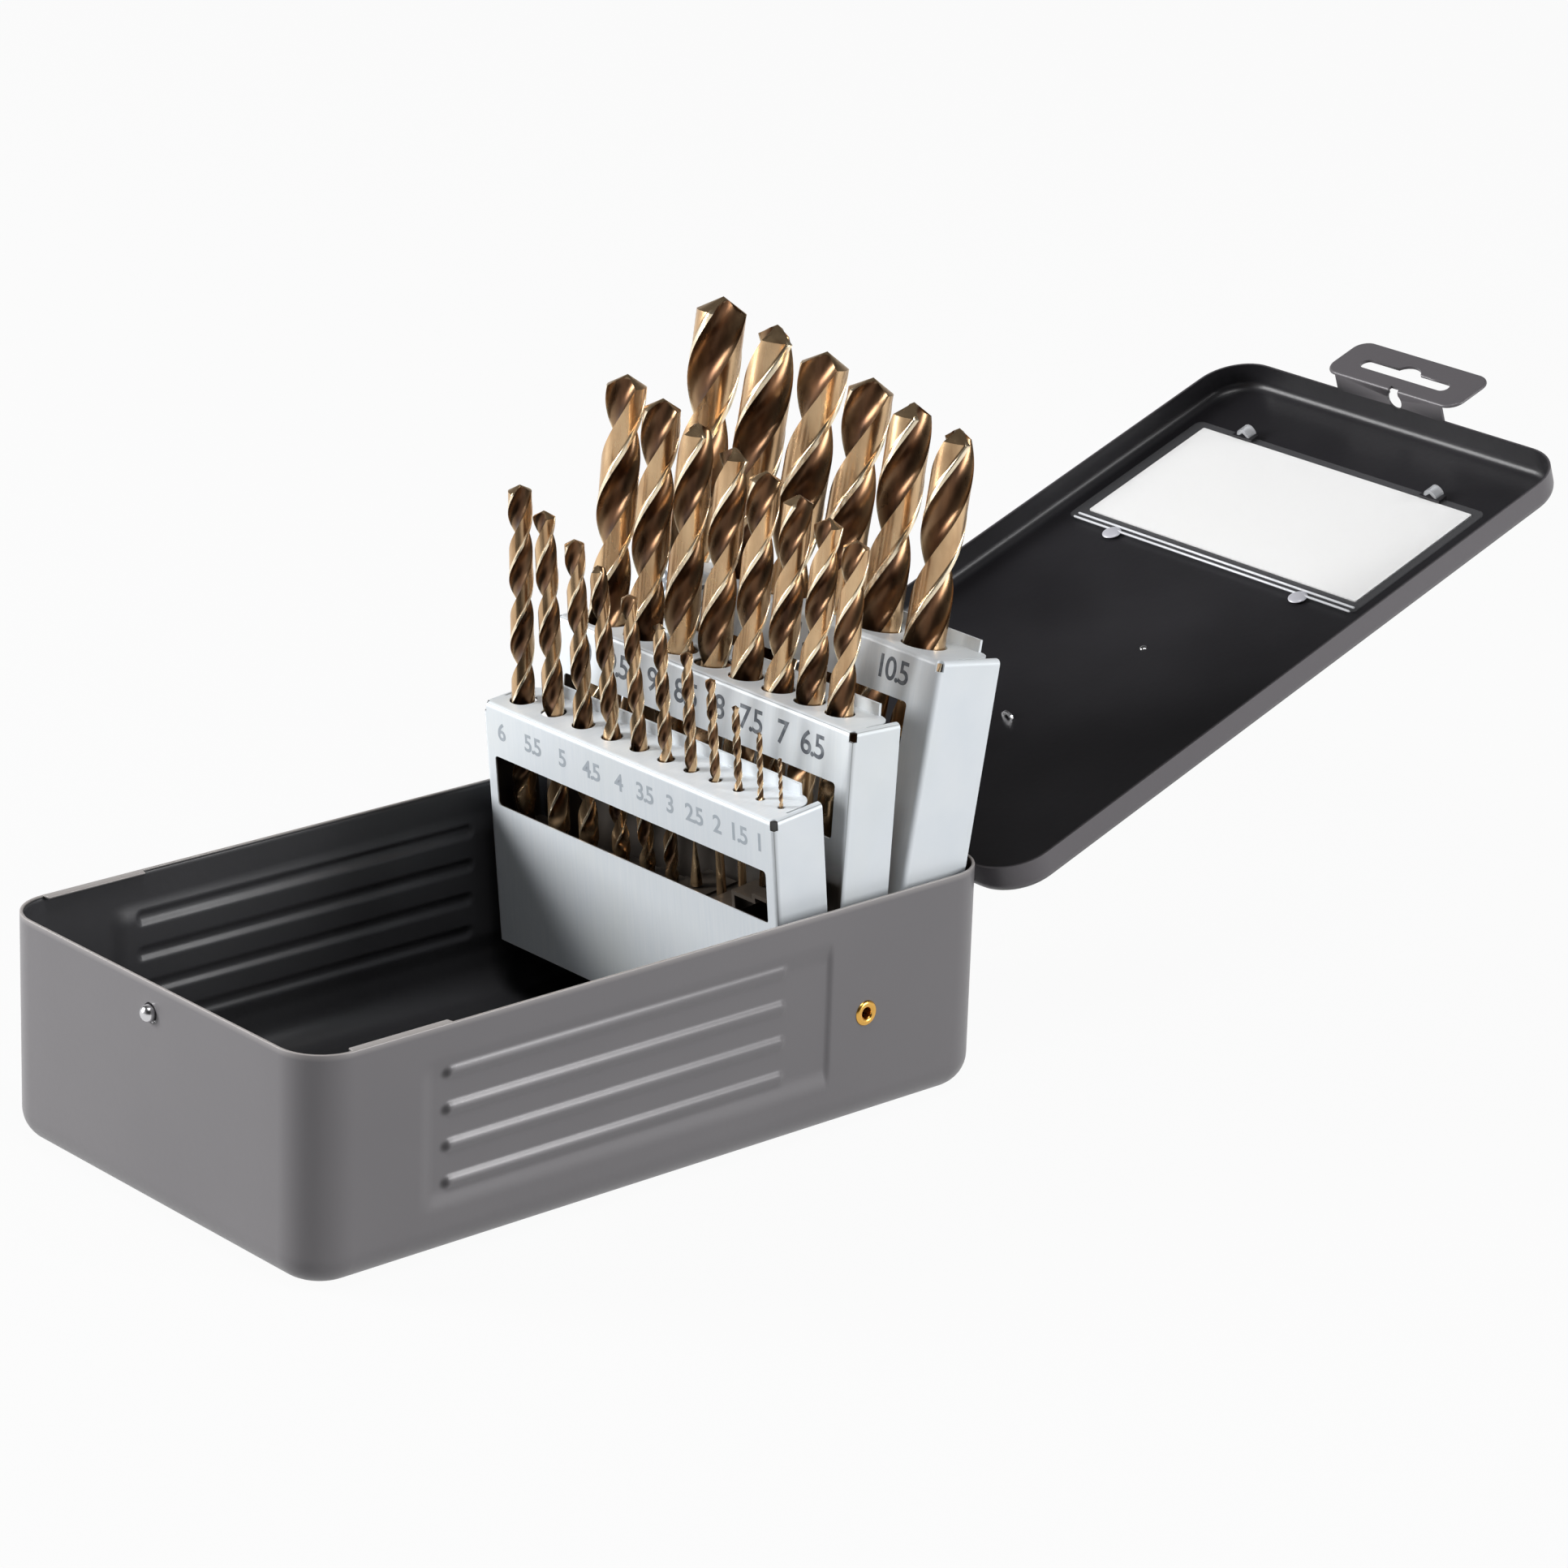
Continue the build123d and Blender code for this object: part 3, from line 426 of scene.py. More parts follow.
def drill_section(land_count, flute_count):
    """A twist drill's unit section: two lands on the circle, two flutes on ellipses.
    Each land stands back a little behind its narrow margin. Also each point's angle on the
    circle, its depth mark (0 on the land, 1 deep in the flute) and its margin mark."""
    meet = flute_meets_land()
    end = np.array([FLUTE_ACROSS * cos(meet), FLUTE_SET + FLUTE_DEEP * sin(meet)])
    edge = atan(end[1] / end[0])
    share = np.linspace(0, 1, land_count)
    share = np.unique(np.concatenate([share, [MARGIN_FROM, MARGIN_FROM + MARGIN_EDGE]]))
    angle = -edge + 2 * edge * share
    radius = 1 - LAND_RELIEF * smooth((MARGIN_FROM + MARGIN_EDGE - share) / MARGIN_EDGE)
    land = np.stack([radius * np.cos(angle), radius * np.sin(angle)], -1)
    bowl = np.linspace(meet, -pi - meet, flute_count + 2)[1:-1]
    flute = np.stack([FLUTE_ACROSS * np.cos(bowl), FLUTE_SET + FLUTE_DEEP * np.sin(bowl)], -1)
    across = np.linspace(edge, pi - edge, flute_count + 2)[1:-1]
    half = np.concatenate([land, flute])
    round_half = np.concatenate([angle, across])
    deep = np.concatenate([np.zeros(len(land)), np.sin(np.linspace(0, pi, flute_count + 2)[1:-1])])
    margin = np.concatenate([smooth((share - MARGIN_FROM) / MARGIN_EDGE), np.zeros(flute_count)])
    return (
        np.concatenate([half, -half]),
        np.concatenate([round_half, round_half + pi]),
        np.tile(deep, 2),
        np.tile(margin, 2),
    )


def drill_grid(size, foot, up, phase, run_on=0.0):
    """A drill as one closed grid: the section, turned by 2 pi z / lead, climbs the axis, grows
    out of the round shank over one diameter and is cut off at the top by the point's cone."""
    radius = size / 2
    length, flute = DRILLS[size]
    flute = flute + run_on
    lead = pi * size / tan(radians(HELIX_ANGLE))
    slope = 1 / tan(radians(POINT_HALF_ANGLE))
    section, circle, deep, margin = drill_section(12, 17)
    start, shoulder = length - flute - FLUTE_START * size, length - radius * slope
    run = np.linspace(start, shoulder, int(30 * flute / lead) + 24)
    tip = np.linspace(shoulder, length, 6)[1:]
    chamfer = SHANK_CHAMFER * size
    level = np.concatenate([[0, chamfer], run, tip])
    grow = smooth((level - start) / (FLUTE_GROWTH * size))[:, None, None]
    plain = np.stack([np.cos(circle), np.sin(circle)], -1)[None]
    shape = plain * (1 - grow) + section[None] * grow
    shape[0] *= (radius - chamfer) / radius
    away = np.hypot(shape[..., 0], shape[..., 1])
    top = length - away * radius * slope
    height = np.minimum(level[:, None], top)
    turn = phase + 2 * pi * height / lead
    x = radius * (shape[..., 0] * np.cos(turn) - shape[..., 1] * np.sin(turn))
    y = radius * (shape[..., 0] * np.sin(turn) + shape[..., 1] * np.cos(turn))
    inward = POINT_RINGS[:, None]
    cap_z = length - away[-1] * radius * slope * inward
    centre = np.zeros((1, x.shape[1]))
    x = np.concatenate([centre, x, x[-1] * inward])
    y = np.concatenate([centre, y, y[-1] * inward])
    z = np.concatenate([centre, height, cap_z])
    grow = np.concatenate([[0.0], grow[:, 0, 0]])[:, None]
    first, side = round_axis(up)
    grid = foot + x[..., None] * first + y[..., None] * side + z[..., None] * up
    plain_point = np.zeros((len(POINT_RINGS), len(deep)))
    ground = np.concatenate([np.zeros((len(grow), len(deep))), plain_point + 1])
    ground[-len(POINT_RINGS) - 1] = 1.0
    marks = {
        "flute": np.concatenate([grow * deep, plain_point]),
        "margin": np.concatenate([grow * margin, plain_point]),
        "ground": ground,
    }
    return grid, marks


def foot_of(node, up):
    """The middle of a drill's flat lower end, by a least-squares circle through its vertices."""
    flat = np.empty(len(node.data.vertices) * 3)
    node.data.vertices.foreach_get("co", flat)
    flat = np.unique(np.round(flat.reshape(-1, 3) / MM, 4), axis=0)
    height = flat @ up
    ring = flat[height < height.min() + 0.002]
    first, side = round_axis(up)
    places = np.stack([ring @ first, ring @ side], -1)
    table = np.concatenate([2 * places, np.ones((len(places), 1))], -1)
    middle = np.linalg.lstsq(table, (places ** 2).sum(-1), rcond=None)[0]
    return middle[0] * first + middle[1] * side + height.min() * up


# ---------------------------------------------------------------- finishes
def ink(red, green, blue):
    """A colour written in screen values from 0 to 255, as the linear values that shaders use."""
    value = np.array([red, green, blue]) / 255
    return (*np.where(value < 0.04045, value / 12.92, ((value + 0.055) / 1.055) ** 2.4), 1.0)


class Flow:
    """A value in a finish, which Python's operators add up, multiply and so on."""

    def __init__(self, finish, socket):
        self.finish, self.socket = finish, socket

    def math(self, operation, first, second=0.0):
        return self.finish.node("ShaderNodeMath", {"operation": operation}, {0: first, 1: second})

    def __add__(self, other):
        return self.math("ADD", self, other)

    def __sub__(self, other):
        return self.math("SUBTRACT", self, other)

    def __rsub__(self, other):
        return self.math("SUBTRACT", other, self)

    def __mul__(self, other):
        return self.math("MULTIPLY", self, other)

    def __pow__(self, other):
        return self.math("POWER", self, other)

    def most(self, other):
        return self.math("MAXIMUM", self, other)

    def step(self, low, high, start=0.0, end=1.0):
        """start below low, end above high, and a smooth step between."""
        return self.finish.node("ShaderNodeMapRange", {"interpolation_type": "SMOOTHSTEP"}, {
            "Value": self, "From Min": low, "From Max": high, "To Min": start, "To Max": end})


class Wiring:
    """A node tree whose nodes are made one call at a time."""

    def __init__(self, tree):
        self.tree = tree

    def node(self, kind, settings, inputs, out=0):
        made = self.tree.nodes.new(kind)
        for key, value in settings.items():
            setattr(made, key, value)
        for key, value in inputs.items():
            self.join(made.inputs[key], value)
        return Flow(self, made.outputs[out]) if made.outputs else None

    def join(self, socket, value):
        if isinstance(value, Flow):
            self.tree.links.new(value.socket, socket)
        else:
            socket.default_value = value

    def ray(self, kind):
        """1 for a camera, glossy or transmission ray, whichever is asked for."""
        return self.node("ShaderNodeLightPath", {}, {}, f"Is {kind} Ray")


class Finish(Wiring):
    """A material that ends in one Principled shader."""

    def __init__(self, name):
        self.material = bpy.data.materials.new(name)
        self.material.use_nodes = True
        super().__init__(self.material.node_tree)
        self.shader = self.tree.nodes["Principled BSDF"]
        self.place = self.node("ShaderNodeTexCoord", {}, {}, "Object")

    def mark(self, name):
        return self.node("ShaderNodeAttribute", {"attribute_name": name}, {}, "Fac")

    def cloud(self, scale, detail=2.0, stretch=(1, 1, 1)):
        spot = self.node("ShaderNodeMapping", {}, {"Vector": self.place, "Scale": stretch})
        return self.node("ShaderNodeTexNoise", {}, {"Vector": spot, "Scale": scale, "Detail": detail})

    def blend(self, share, first, second):
        return self.node("ShaderNodeMix", {"data_type": "RGBA"}, {0: share, 6: first, 7: second}, 2)

    def relief(self, height, strength, distance):
        return self.node("ShaderNodeBump", {}, {
            "Height": height, "Strength": strength, "Distance": distance})

    def dress(self, **sockets):
        for key, value in sockets.items():
            self.join(self.shader.inputs[key.replace("_", " ")], value)
        return self.material


def enamel(name, outside, inside):
    """Grey baked enamel, darker inside (on the case this is painted shade), with fine orange peel, a painted
    highlight along the ribs, painted shade at their front ends, and a lighter rim edge that is both paint wear and
    painted highlight.
    """
    look = Finish(name)
    peel = look.cloud(620.0, 3.0)
    drift = look.cloud(16.0, 3.0)
    coat = look.blend(look.mark("inside"), outside, inside)
    coat = look.blend((drift - 0.5) * 0.4 + 0.08, coat, ink(84, 83, 87))
    outer = 1 - look.mark("inside")
    # painted highlight: lighter paint along the ribs' upper flanks, outside only
    coat = look.blend(look.mark("rubbed") * outer * 0.35, coat, ink(178, 176, 178))
    # painted shade: a dark spot at each rib's front end, outside only
    coat = look.blend(look.mark("sooty") * outer * 0.85, coat, ink(48, 46, 48))
    # lighter rim edge: paint wear down to the steel and a painted highlight along the rim
    coat = look.blend(look.mark("bare") * 0.55, coat, ink(196, 190, 186))
    return look.dress(
        Base_Color=coat, Roughness=peel * 0.12 + 0.34, Metallic=0.1, Specular_IOR_Level=0.3,
        Normal=look.relief(peel, 0.05, 0.0004), Coat_Weight=0.1, Coat_Roughness=0.22,
    )


def plain_enamel(name, shade, deep):
    """The same enamel on a piece with no marks: shade, drifting a little towards deep."""
    look = Finish(name)
    peel = look.cloud(620.0, 3.0)
    drift = look.cloud(16.0, 3.0)
    coat = look.blend((drift - 0.5) * 0.8 + 0.3, shade, deep)
    return look.dress(
        Base_Color=coat, Roughness=peel * 0.12 + 0.3, Metallic=0.25,
        Normal=look.relief(peel, 0.05, 0.0004), Coat_Weight=0.25, Coat_Roughness=0.2,
    )


def zinc(name, bank_in_shade=None):
    """Bright zinc on bent sheet: cool grey, faint rolling streaks and cloudy passivation.
    The bank given, if any, gets painted shade on its hidden faces, inside it and low on its front."""
    look = Finish(name)
    streak = look.cloud(60.0, 4.0, stretch=(22, 1.2, 1.2))
    haze = look.cloud(38.0, 3.0)
    tone = look.blend((streak - 0.5) * 0.9 + 0.5, ink(208, 216, 223), ink(226, 230, 233))
    tone = look.blend((haze - 0.48) * 1.1, tone, ink(212, 216, 211))
    if bank_in_shade:
        # painted shade: a mottled dark brown on the bank's hidden faces
        shade_mottle = look.cloud(140.0, 3.0)
        dark = look.blend(shade_mottle, ink(30, 26, 23), ink(72, 64, 56))
        tone = look.blend(hidden_part(look, bank_in_shade), tone, dark)
    return look.dress(
        Base_Color=tone, Metallic=0.12, Roughness=haze * 0.2 + 0.34,
        Normal=look.relief(streak, 0.05, 0.0002),
    )


def hidden_part(look, bank):
    """Where painted shade goes: 1 on a bank's inner faces and on its front below the bank before it, 0 elsewhere.
    """
    lean = radians(bank["lean"])

    def along(direction):
        reach = look.node("ShaderNodeVectorMath", {"operation": "DOT_PRODUCT"},
                          {0: look.place, 1: direction}, 1)
        return reach - float(np.dot(PIVOT * MM, direction))

    def within(value, low, high):
        return value.step(low * MM, high * MM)

    # a face is inner where it lies between these two depths under the outer face
    near, far = 0.25, 0.45
    back = along((0.0, cos(lean), -sin(lean)))
    up = along((0.0, sin(lean), cos(lean)))
    across = along((1.0, 0.0, 0.0))
    across = across.math("ABSOLUTE", across)
    under_front = within(back, bank["front"] + near, bank["front"] + far)
    inner = under_front * (1 - within(across, bank["half"] - far, bank["half"] - near))
    inner = inner * (1 - within(up, bank["strip"][1] - far, bank["strip"][1] - near))
    if "behind" not in bank:
        return inner
    return inner.most((1 - under_front) * (1 - within(up, *bank["behind"])))


def bronze_steel(name):
    """Bronze-oxide drill steel: golden lands, cream margins as a painted highlight, flutes darkened brown as
    painted shade, ground tip.
    """
    look = Finish(name)
    flute, margin, ground = (look.mark(key) for key in ("flute", "margin", "ground"))
    smear = look.cloud(240.0, 3.0, stretch=(1, 1, 0.3))
    tone = look.blend((smear - 0.5) * 1.6 + 0.5, ink(166, 130, 94), ink(228, 196, 154))
    # painted shade: the flutes' colour is darkened to stand for the shade and dark reflections in their hollows
    depth = look.blend((smear - 0.5) * 1.6 + 0.4, ink(50, 32, 23), ink(128, 92, 64))
    tone = look.blend(flute ** 0.6, tone, depth)
    # painted highlight: a cream line along each land's margin
    tone = look.blend(margin, tone, ink(250, 234, 204))
    tone = look.blend(ground * 0.5, tone, ink(190, 164, 130))
    return look.dress(
        Base_Color=tone, Metallic=0.92, Roughness=smear * 0.2 + 0.16 + flute * 0.05,
        Normal=look.relief(smear, 0.08, 0.0002),
    )


def bright(name, shade, roughness, metallic=1.0):
    """A polished metal with a faint haze."""
    look = Finish(name)
    haze = look.cloud(300.0, 3.0)
    deeper = tuple(0.7 * c for c in shade[:3]) + (1.0,)
    tone = look.blend((haze - 0.5) * 0.6 + 0.2, shade, deeper)
    return look.dress(Base_Color=tone, Metallic=metallic, Roughness=haze * 0.12 + roughness)


def card(name):
    """Uncoated white card with a paper tooth."""
    look = Finish(name)
    tooth = look.cloud(900.0, 4.0)
    tone = look.blend((tooth - 0.5) * 0.5 + 0.3, ink(238, 238, 238), ink(230, 230, 229))
    return look.dress(Base_Color=tone, Roughness=0.62, Normal=look.relief(tooth, 0.04, 0.0002))


def film(name, alpha):
    """Clear plastic film: nearly all seen through, with a gloss."""
    look = Finish(name)
    ripple = look.cloud(30.0, 2.0)
    return look.dress(
        Base_Color=ink(238, 240, 244), Roughness=ripple * 0.05 + 0.06, Alpha=alpha,
        Normal=look.relief(ripple, 0.05, 0.0006),
    )


def stamped_ink(name, shade):
    """Numerals rolled on in thin grey ink."""
    look = Finish(name)
    wear = look.cloud(500.0, 3.0)
    tone = look.blend((wear - 0.45) * 1.4, shade, ink(176, 182, 188))
    return look.dress(Base_Color=tone, Roughness=0.55)


# painted shade: the case's inside colour is darkened to stand for the shade inside the open box
case_paint = enamel("case_enamel", ink(114, 112, 114), ink(56, 56, 58))
lid_paint = enamel("lid_enamel", ink(98, 95, 98), ink(26, 25, 28))
hinge_paint = plain_enamel("hinge_enamel", ink(96, 95, 98), ink(78, 77, 80))
zinc_sheet = zinc("zinc_sheet")
# banks a and b get painted shade on their hidden faces
shade_zinc = {bank: zinc(f"zinc_shade_{bank}", BANKS[bank]) for bank in "ab"}
# painted shade: the zinc shelves are given a dark brown that stands for the shade inside the banks
shelf_painted_shade = bright("shelf_painted_shade", ink(70, 62, 54), 0.5, 0.3)
drill_steel = bronze_steel("bronze_drill_steel")
bright_steel = bright("bright_steel", ink(214, 214, 216), 0.18)
brass = bright("rolled_brass", ink(222, 172, 88), 0.2)
white_card = card("white_card")
milky = bright("milky_rivet", ink(206, 206, 214), 0.3, 0.25)
clear_film = film("clear_film", 0.03)
film_edge = film("film_edge", 0.7)
clip_film = film("clip_film", 0.3)

# ---------------------------------------------------------------- pieces
nodes = frame["nodes"]
finish_of = {"white_card": white_card, "clear_film": clear_film, "bright_steel": bright_steel,
             "zinc_sheet": zinc_sheet, "bronze_steel": drill_steel, "brass_eyelet": brass,
             "case_paint": hinge_paint}
for part in frame["record"]["subparts"]:
    shell = nodes[part["node"]].data
    shell.materials.clear()
    shell.materials.append(finish_of[part["material_slot"]])
for bank, finish in shade_zinc.items():
    nodes[f"bank_{bank}_shell"].data.materials[0] = finish
    nodes[f"bank_{bank}_shelf"].data.materials[0] = shelf_painted_shade

grid, marks = base_grid()
base = mesh_of("base_shell", [(grid, True, marks)])
base = cut_round(base, [
    ((0, -CASE_HALF[1] - 1, BUTTON_HEIGHT), (0, 1, 0), BUTTON_RADIUS + BUTTON_FIT, PUNCH_LENGTH),
    ((-CASE_HALF[0] - 1, PIVOT[1], PIVOT[2]), (1, 0, 0), EYELET_RADIUS, PUNCH_LENGTH),
    ((CASE_HALF[0] - 2, PIVOT[1], PIVOT[2]), (1, 0, 0), EYELET_RADIUS, PUNCH_LENGTH),
])
piece("base_shell", base, "case", case_paint, 40, ["base_case"])


def lid_mesh():
    """The lid's pressed sheet, merged to smooth bends, with marks for its inside and its rim."""
    mesh = nodes["lid"].data.copy()
    mesh = tidied(mesh, 2e-6)
    flat = np.empty(len(mesh.vertices) * 3)
    mesh.vertices.foreach_get("co", flat)
    spot = flat.reshape(-1, 3) / MM - HINGE
    lean = radians(LID_OPEN - 180.0)
    along = spot[:, 1] * cos(lean) - spot[:, 2] * sin(lean)
    height = spot[:, 1] * sin(lean) + spot[:, 2] * cos(lean)
    off = np.abs(np.stack([spot[:, 0], along - HINGE[1]], -1)) - (LID_HALF - LID_CORNER)
    reach = np.hypot(*np.maximum(off, 0).T) - LID_CORNER
    inner = (height > LID_FLOOR - 0.3) & (reach < -0.4) & (height < 0.4)
    for name, value in (("inside", inner), ("bare", np.zeros(len(inner)))):
        layer = mesh.attributes.new(name, "FLOAT", "POINT")
        layer.data.foreach_set("value", value.astype(np.float32))
    return mesh


piece("lid_tray", lid_mesh(), "lid", lid_paint, 30, ["lid"])

dome = np.linspace(0, pi / 2, 9)
tip = np.stack([BUTTON_RADIUS * np.cos(dome), BUTTON_NECK * (np.sin(dome) + 1)], -1)
button = turned([(0, 0), (BUTTON_RADIUS, 0), *tip], np.array([0, BUTTON_FOOT, BUTTON_HEIGHT]), (0, -1, 0))
piece("latch_dome", mesh_of("latch_dome", [(button, True, {})]), "latch",
      bright_steel, 40, ["latch_button"])

roll = np.linspace(0, pi, 9)
grids = []
for hand in (-1.0, 1.0):
    outer = (EYELET_FLANGE + EYELET_BORE) / 2 + (EYELET_FLANGE - EYELET_BORE) / 2 * np.cos(roll)
    swell = SKIN + EYELET_FLANGE_THICKNESS * ROLL * np.sin(roll)
    outer_face, inner_face = CASE_HALF[0], CHEEK_INSIDE - PLAY
    profile = [
        (EYELET_RADIUS, inner_face), (EYELET_RADIUS, outer_face),
        *np.stack([outer, outer_face + swell], -1),
        *np.stack([outer[::-1], inner_face - swell], -1), (EYELET_RADIUS, inner_face),
    ]
    grids.append((turned(profile, PIVOT, (hand, 0, 0), 48), True, {}))
piece("brass_eyelets", mesh_of("brass_eyelets", grids), "case", brass, 50,
      ["pivot_eyelets"])

lid_out = lid_point(0.0, 0.0, 1.0) - HINGE
lid_along = lid_point(0.0, 1.0, 0.0) - HINGE
grids = []
for x in STUD_X:
    middle = lid_point(x, STUD_S, LID_FLOOR)
    head = np.stack([STUD_HEAD[0] * np.cos(dome), STUD_NECK[1] + STUD_HEAD[1] * np.sin(dome)], -1)
    grids.append((turned([(0, 0), (STUD_NECK[0], 0), STUD_NECK, *head], middle, lid_out), True, {}))
piece("chart_stud_heads", mesh_of("chart_stud_heads", grids), "lid", milky, 40,
      ["chart_studs"])

# the film's folded hem, whose two edges catch the light, and its clips at the far end
grids = []
hem_end = np.array([(0, 0), (HEM_RADIUS - 0.1, 0.1), (HEM_RADIUS, 0.4)])
other_end = hem_end[::-1] * (1, -1) + (0, FILM_X[1] - FILM_X[0])
for s in FILM_HEM:
    start = lid_point(FILM_X[0], s, LID_FLOOR + FILM_TOP + 0.3)
    grids.append((turned([*hem_end, *other_end], start, (1, 0, 0), 16), True, {}))
piece("film_hem", mesh_of("film_hem", grids), "lid", film_edge, 50)


def arch(x, s, height, half, length, thick, axis):
    """A half-round strip that stands on the lid's floor: its arc's radius is half, its length
    runs along axis, and its thickness is thick. One closed grid, rows along the length."""
    turn = np.linspace(0, pi, 15)
    outer = np.stack([half * np.cos(turn), half * np.sin(turn)], -1)
    loop = np.concatenate([outer, (outer * (1 - thick / half))[::-1]])
    middle = lid_point(x, s, height)
    across = np.cross(axis, lid_out)
    row = middle + loop[:, :1] * across + loop[:, 1:] * lid_out
    core = row.mean(0)
    rows = [core, row, row + axis * length, core + axis * length]
    return np.stack([np.broadcast_to(line, row.shape) for line in rows])


grids = [
    (arch(x, FILM_END - 1.6, LID_FLOOR + 1.3, CLIP_RADIUS, CLIP_LENGTH, CLIP_SHEET, lid_along), True, {})
    for x in STUD_X
]
piece("film_clips", mesh_of("film_clips", grids), "lid", clip_film, 50)

grids = [(arch(*LID_TAB, LID_FLOOR - SKIN, TAB_RADIUS, TAB_SHEET, TAB_SHEET, lid_along), True, {})]
piece("lid_lanced_loop", mesh_of("lid_lanced_loop", grids), "lid", bright_steel, 50)
bulge = np.stack([SPOT_SIZE[0] * np.cos(dome), SPOT_SIZE[1] * np.sin(dome)], -1)
pip = [(0, -0.1), (SPOT_SIZE[0], -0.1), *bulge]
grids = [(turned(pip, lid_point(*LID_SPOT, LID_FLOOR), lid_out, 24), True, {})]
piece("lid_spot_weld", mesh_of("lid_spot_weld", grids), "lid", bright_steel, 50)

# each drill's axis is that of its slide, from the shank to the tip
up_of = {
    joint["child"]: -unit(joint["axis"])
    for joint in frame["joints"] if joint["child"].startswith("drill_")
}
for name, up in up_of.items():
    size = float(name.removeprefix("drill_").replace("_", "."))
    run_on = FLUTE_RUN_ON if LONG_FLUTED[0] <= size <= LONG_FLUTED[1] else 0.0
    phase = DRILL_TURN[0] * size + DRILL_TURN[1]
    grid, marks = drill_grid(size, foot_of(nodes[name], up), up, phase, run_on)
    piece("twist_" + name, mesh_of("twist_" + name, [(grid, True, marks)]), name,
          drill_steel, 50, [name])


def numerals(bank, facts):
    """The drill sizes on a bank's strip, each below its drill, as one flat mesh."""
    point = leaning(PIVOT, facts["lean"])
    largest, count = facts["sizes"]
    made = []
    for i in range(count):
        size = largest - 0.5 * i
        name = f"drill_{size:.1f}".replace(".", "_")
        up = up_of[name]
        foot = foot_of(nodes[name], up)
        level = sum(facts["strip"]) / 2
        x = foot[0] + up[0] / up[2] * (level * cos(radians(facts["lean"])) + PIVOT[2] - foot[2])
        words = bpy.data.curves.new("numeral", "FONT")
        words.body = f"{size:g}"
        words.align_x, words.align_y = "CENTER", "CENTER"
        words.size = facts["tall"] * MM
        words.space_character = 0.85
        words.offset = 0.00012
        mark = bpy.data.objects.new("numeral", words)
        bpy.context.scene.collection.objects.link(mark)
        ready = mark.evaluated_get(bpy.context.evaluated_depsgraph_get())
        mesh = bpy.data.meshes.new_from_object(ready)
        bpy.data.objects.remove(mark)
        turn = Matrix.Rotation(radians(90 - facts["lean"]), 4, "X")
        spot = point(x, facts["front"] - 0.03, level)
        mesh.transform(Matrix.Translation(Vector(spot * MM)) @ turn)
        made.append(mesh)
    work = bmesh.new()
    for mesh in made:
        work.from_mesh(mesh)
    joined = bpy.data.meshes.new(f"bank_{bank}_numerals")
    work.to_mesh(joined)
    work.free()
    return joined


shades = {"a": ink(158, 166, 174), "b": ink(84, 90, 98), "c": ink(84, 90, 98)}
for bank, facts in BANKS.items():
    piece(f"bank_{bank}_numerals", numerals(bank, facts), f"bank_{bank}",
          stamped_ink(f"numeral_ink_{bank}", shades[bank]))

# ---------------------------------------------------------------- stage
def stage_sheet(name, corners, finish):
    mesh = bpy.data.meshes.new(name)
    mesh.from_pydata(corners, [], [(0, 1, 2, 3)])
    thing = bpy.data.objects.new(name, mesh)
    bpy.context.scene.collection.objects.link(thing)
    mesh.materials.append(finish)
    thing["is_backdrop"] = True


def seen_white(name, share):
    """A pale matt floor that camera, gloss and glass see as white, but for a soft shadow."""
    material = bpy.data.materials.new(name)
    material.use_nodes = True
    material.node_tree.nodes.clear()
    floor = Wiring(material.node_tree)
    seen = floor.ray("Camera").most(floor.ray("Glossy")).most(floor.ray("Transmission"))
    matt = floor.node("ShaderNodeBsdfDiffuse", {}, {"Color": (0.36, 0.36, 0.37, 1)})
    glow = floor.node("ShaderNodeEmission", {}, {"Color": (1, 1, 1, 1), "Strength": 1.0})
    mixed = floor.node("ShaderNodeMixShader", {}, {0: seen * share, 1: matt, 2: glow})
    floor.node("ShaderNodeOutputMaterial", {}, {"Surface": mixed})
    return material


def studio():
    """A room that is pale round about, dim overhead, and dimmer at the front right, so that the
    near corner keeps its tone. The camera sees it white, also through film."""
    world = bpy.data.worlds.new("studio")
    bpy.context.scene.world = world
    world.use_nodes = True
    world.node_tree.nodes.clear()
    sky = Wiring(world.node_tree)
    facing = sky.node("ShaderNodeTexCoord", {}, {}, "Generated")
    height = sky.node("ShaderNodeSeparateXYZ", {}, {0: facing}, "Z")
    toward = sky.node("ShaderNodeVectorMath", {"operation": "DOT_PRODUCT"},
                      {0: facing, 1: FRONT_RIGHT}, 1)
    room = height.step(0.15, 0.6, 0.42, 0.07) * toward.step(0.45, 0.95, 1.0, 0.1)
    seen = sky.ray("Camera").most(sky.ray("Transmission"))
    level = sky.node("ShaderNodeMix", {}, {"Factor": seen, "A": room, "B": 1.0}, "Result")
    back = sky.node("ShaderNodeBackground", {}, {"Color": (1, 1, 1, 1), "Strength": level})
    sky.node("ShaderNodeOutputWorld", {}, {"Surface": back})


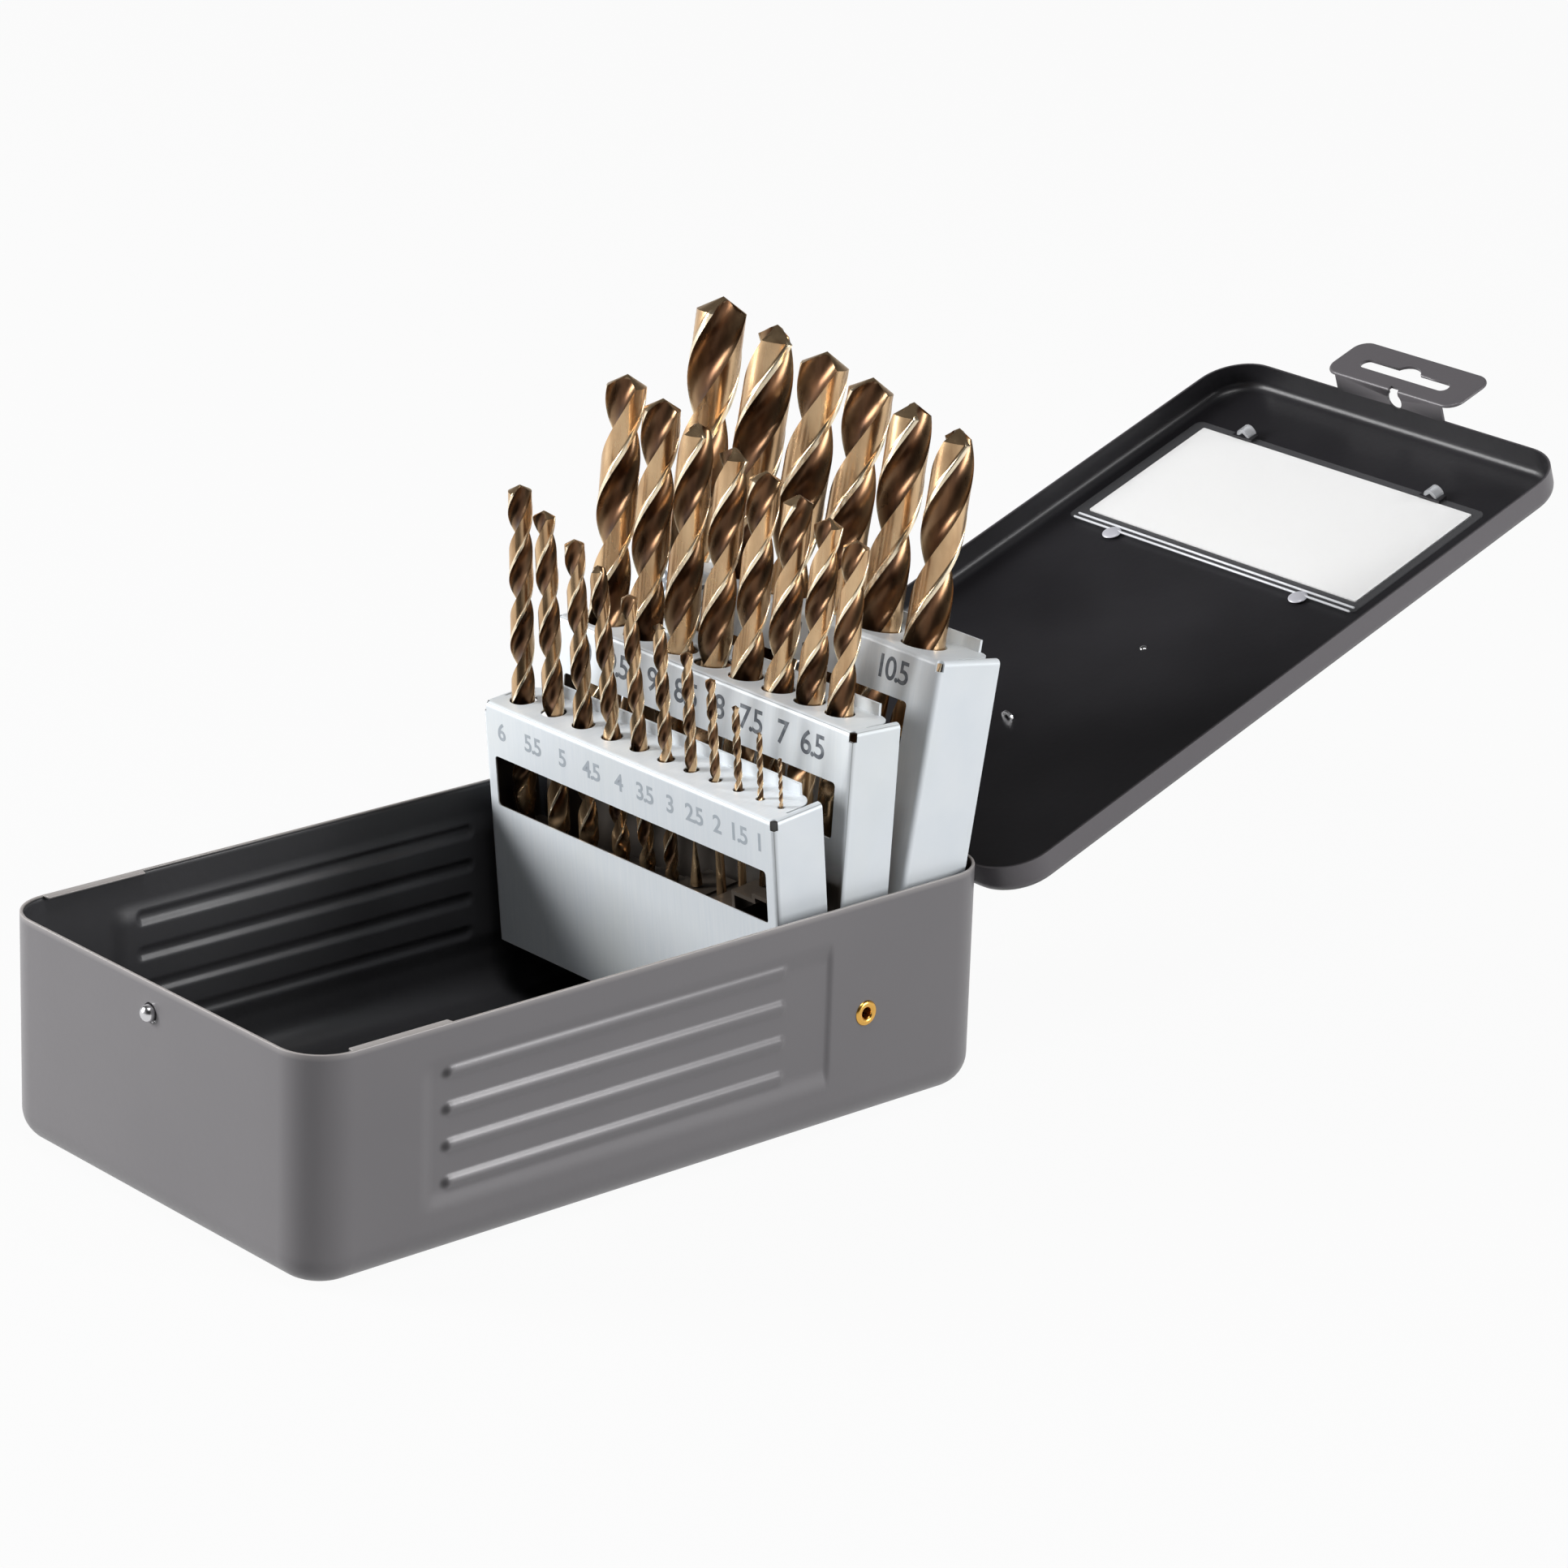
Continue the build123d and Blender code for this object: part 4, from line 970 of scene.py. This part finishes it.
FLOOR_REACH = 6.0
FLOOR_LEVEL = -0.0006
FRONT_RIGHT = (0.743, -0.669, 0.0)
stage_sheet(
    "floor",
    [(x * FLOOR_REACH, y * FLOOR_REACH, FLOOR_LEVEL) for x, y in ((-1, -1), (1, -1), (1, 1), (-1, 1))],
    seen_white("pale_floor", 0.95),
)
studio()


def softbox(name, place, aim, width, height, power):
    lamp = bpy.data.lights.new(name, "AREA")
    lamp.shape = "RECTANGLE"
    lamp.size, lamp.size_y = width, height
    lamp.energy = power
    thing = bpy.data.objects.new(name, lamp)
    bpy.context.scene.collection.objects.link(thing)
    thing.location = place
    thing.rotation_mode = "QUATERNION"
    thing.rotation_quaternion = (Vector(aim) - Vector(place)).to_track_quat("-Z", "Y")


softbox("front_left_box", (-1.05, -1.1, 0.6), (0, 0.0, 0.07), 0.6, 0.8, 37)
softbox("right_box", (1.4, 0.75, 0.5), (0, 0.05, 0.08), 0.5, 0.7, 17.5)
softbox("top_box", (0.4, -0.25, 1.4), (0, 0.12, 0.05), 0.6, 0.5, 8.5)


def make_camera():
    """The camera that looks down at the open case's front right corner."""
    side, rise, roll = radians(CAMERA_TURN), radians(CAMERA_RISE), radians(CAMERA_ROLL)
    toward = np.array([sin(side) * cos(rise), -cos(side) * cos(rise), sin(rise)])
    right = unit(np.cross(-toward, [0, 0, 1]))
    up = np.cross(right, -toward)
    tilted = cos(roll) * right + sin(roll) * up
    upright = -sin(roll) * right + cos(roll) * up
    lens = bpy.data.cameras.new("camera")
    lens.sensor_width = SENSOR_WIDTH
    lens.lens = SENSOR_WIDTH * FOCAL_LENGTH / FRAME_WIDTH
    lens.shift_x = LENS_SHIFT[0] / FRAME_WIDTH
    lens.shift_y = LENS_SHIFT[1] / FRAME_WIDTH
    lens.clip_start, lens.clip_end = 0.05, 50
    thing = bpy.data.objects.new("camera", lens)
    bpy.context.scene.collection.objects.link(thing)
    place = CAMERA_AIM + toward * CAMERA_AWAY
    columns = np.stack([tilted, upright, toward, place], -1)
    thing.matrix_world = Matrix([*columns, (0, 0, 0, 1)])
    bpy.context.scene.camera = thing


make_camera()
bpy.context.scene.view_settings.view_transform = "Standard"

size = {"cad": cad_box, "visual": [list(corner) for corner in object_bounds()]}
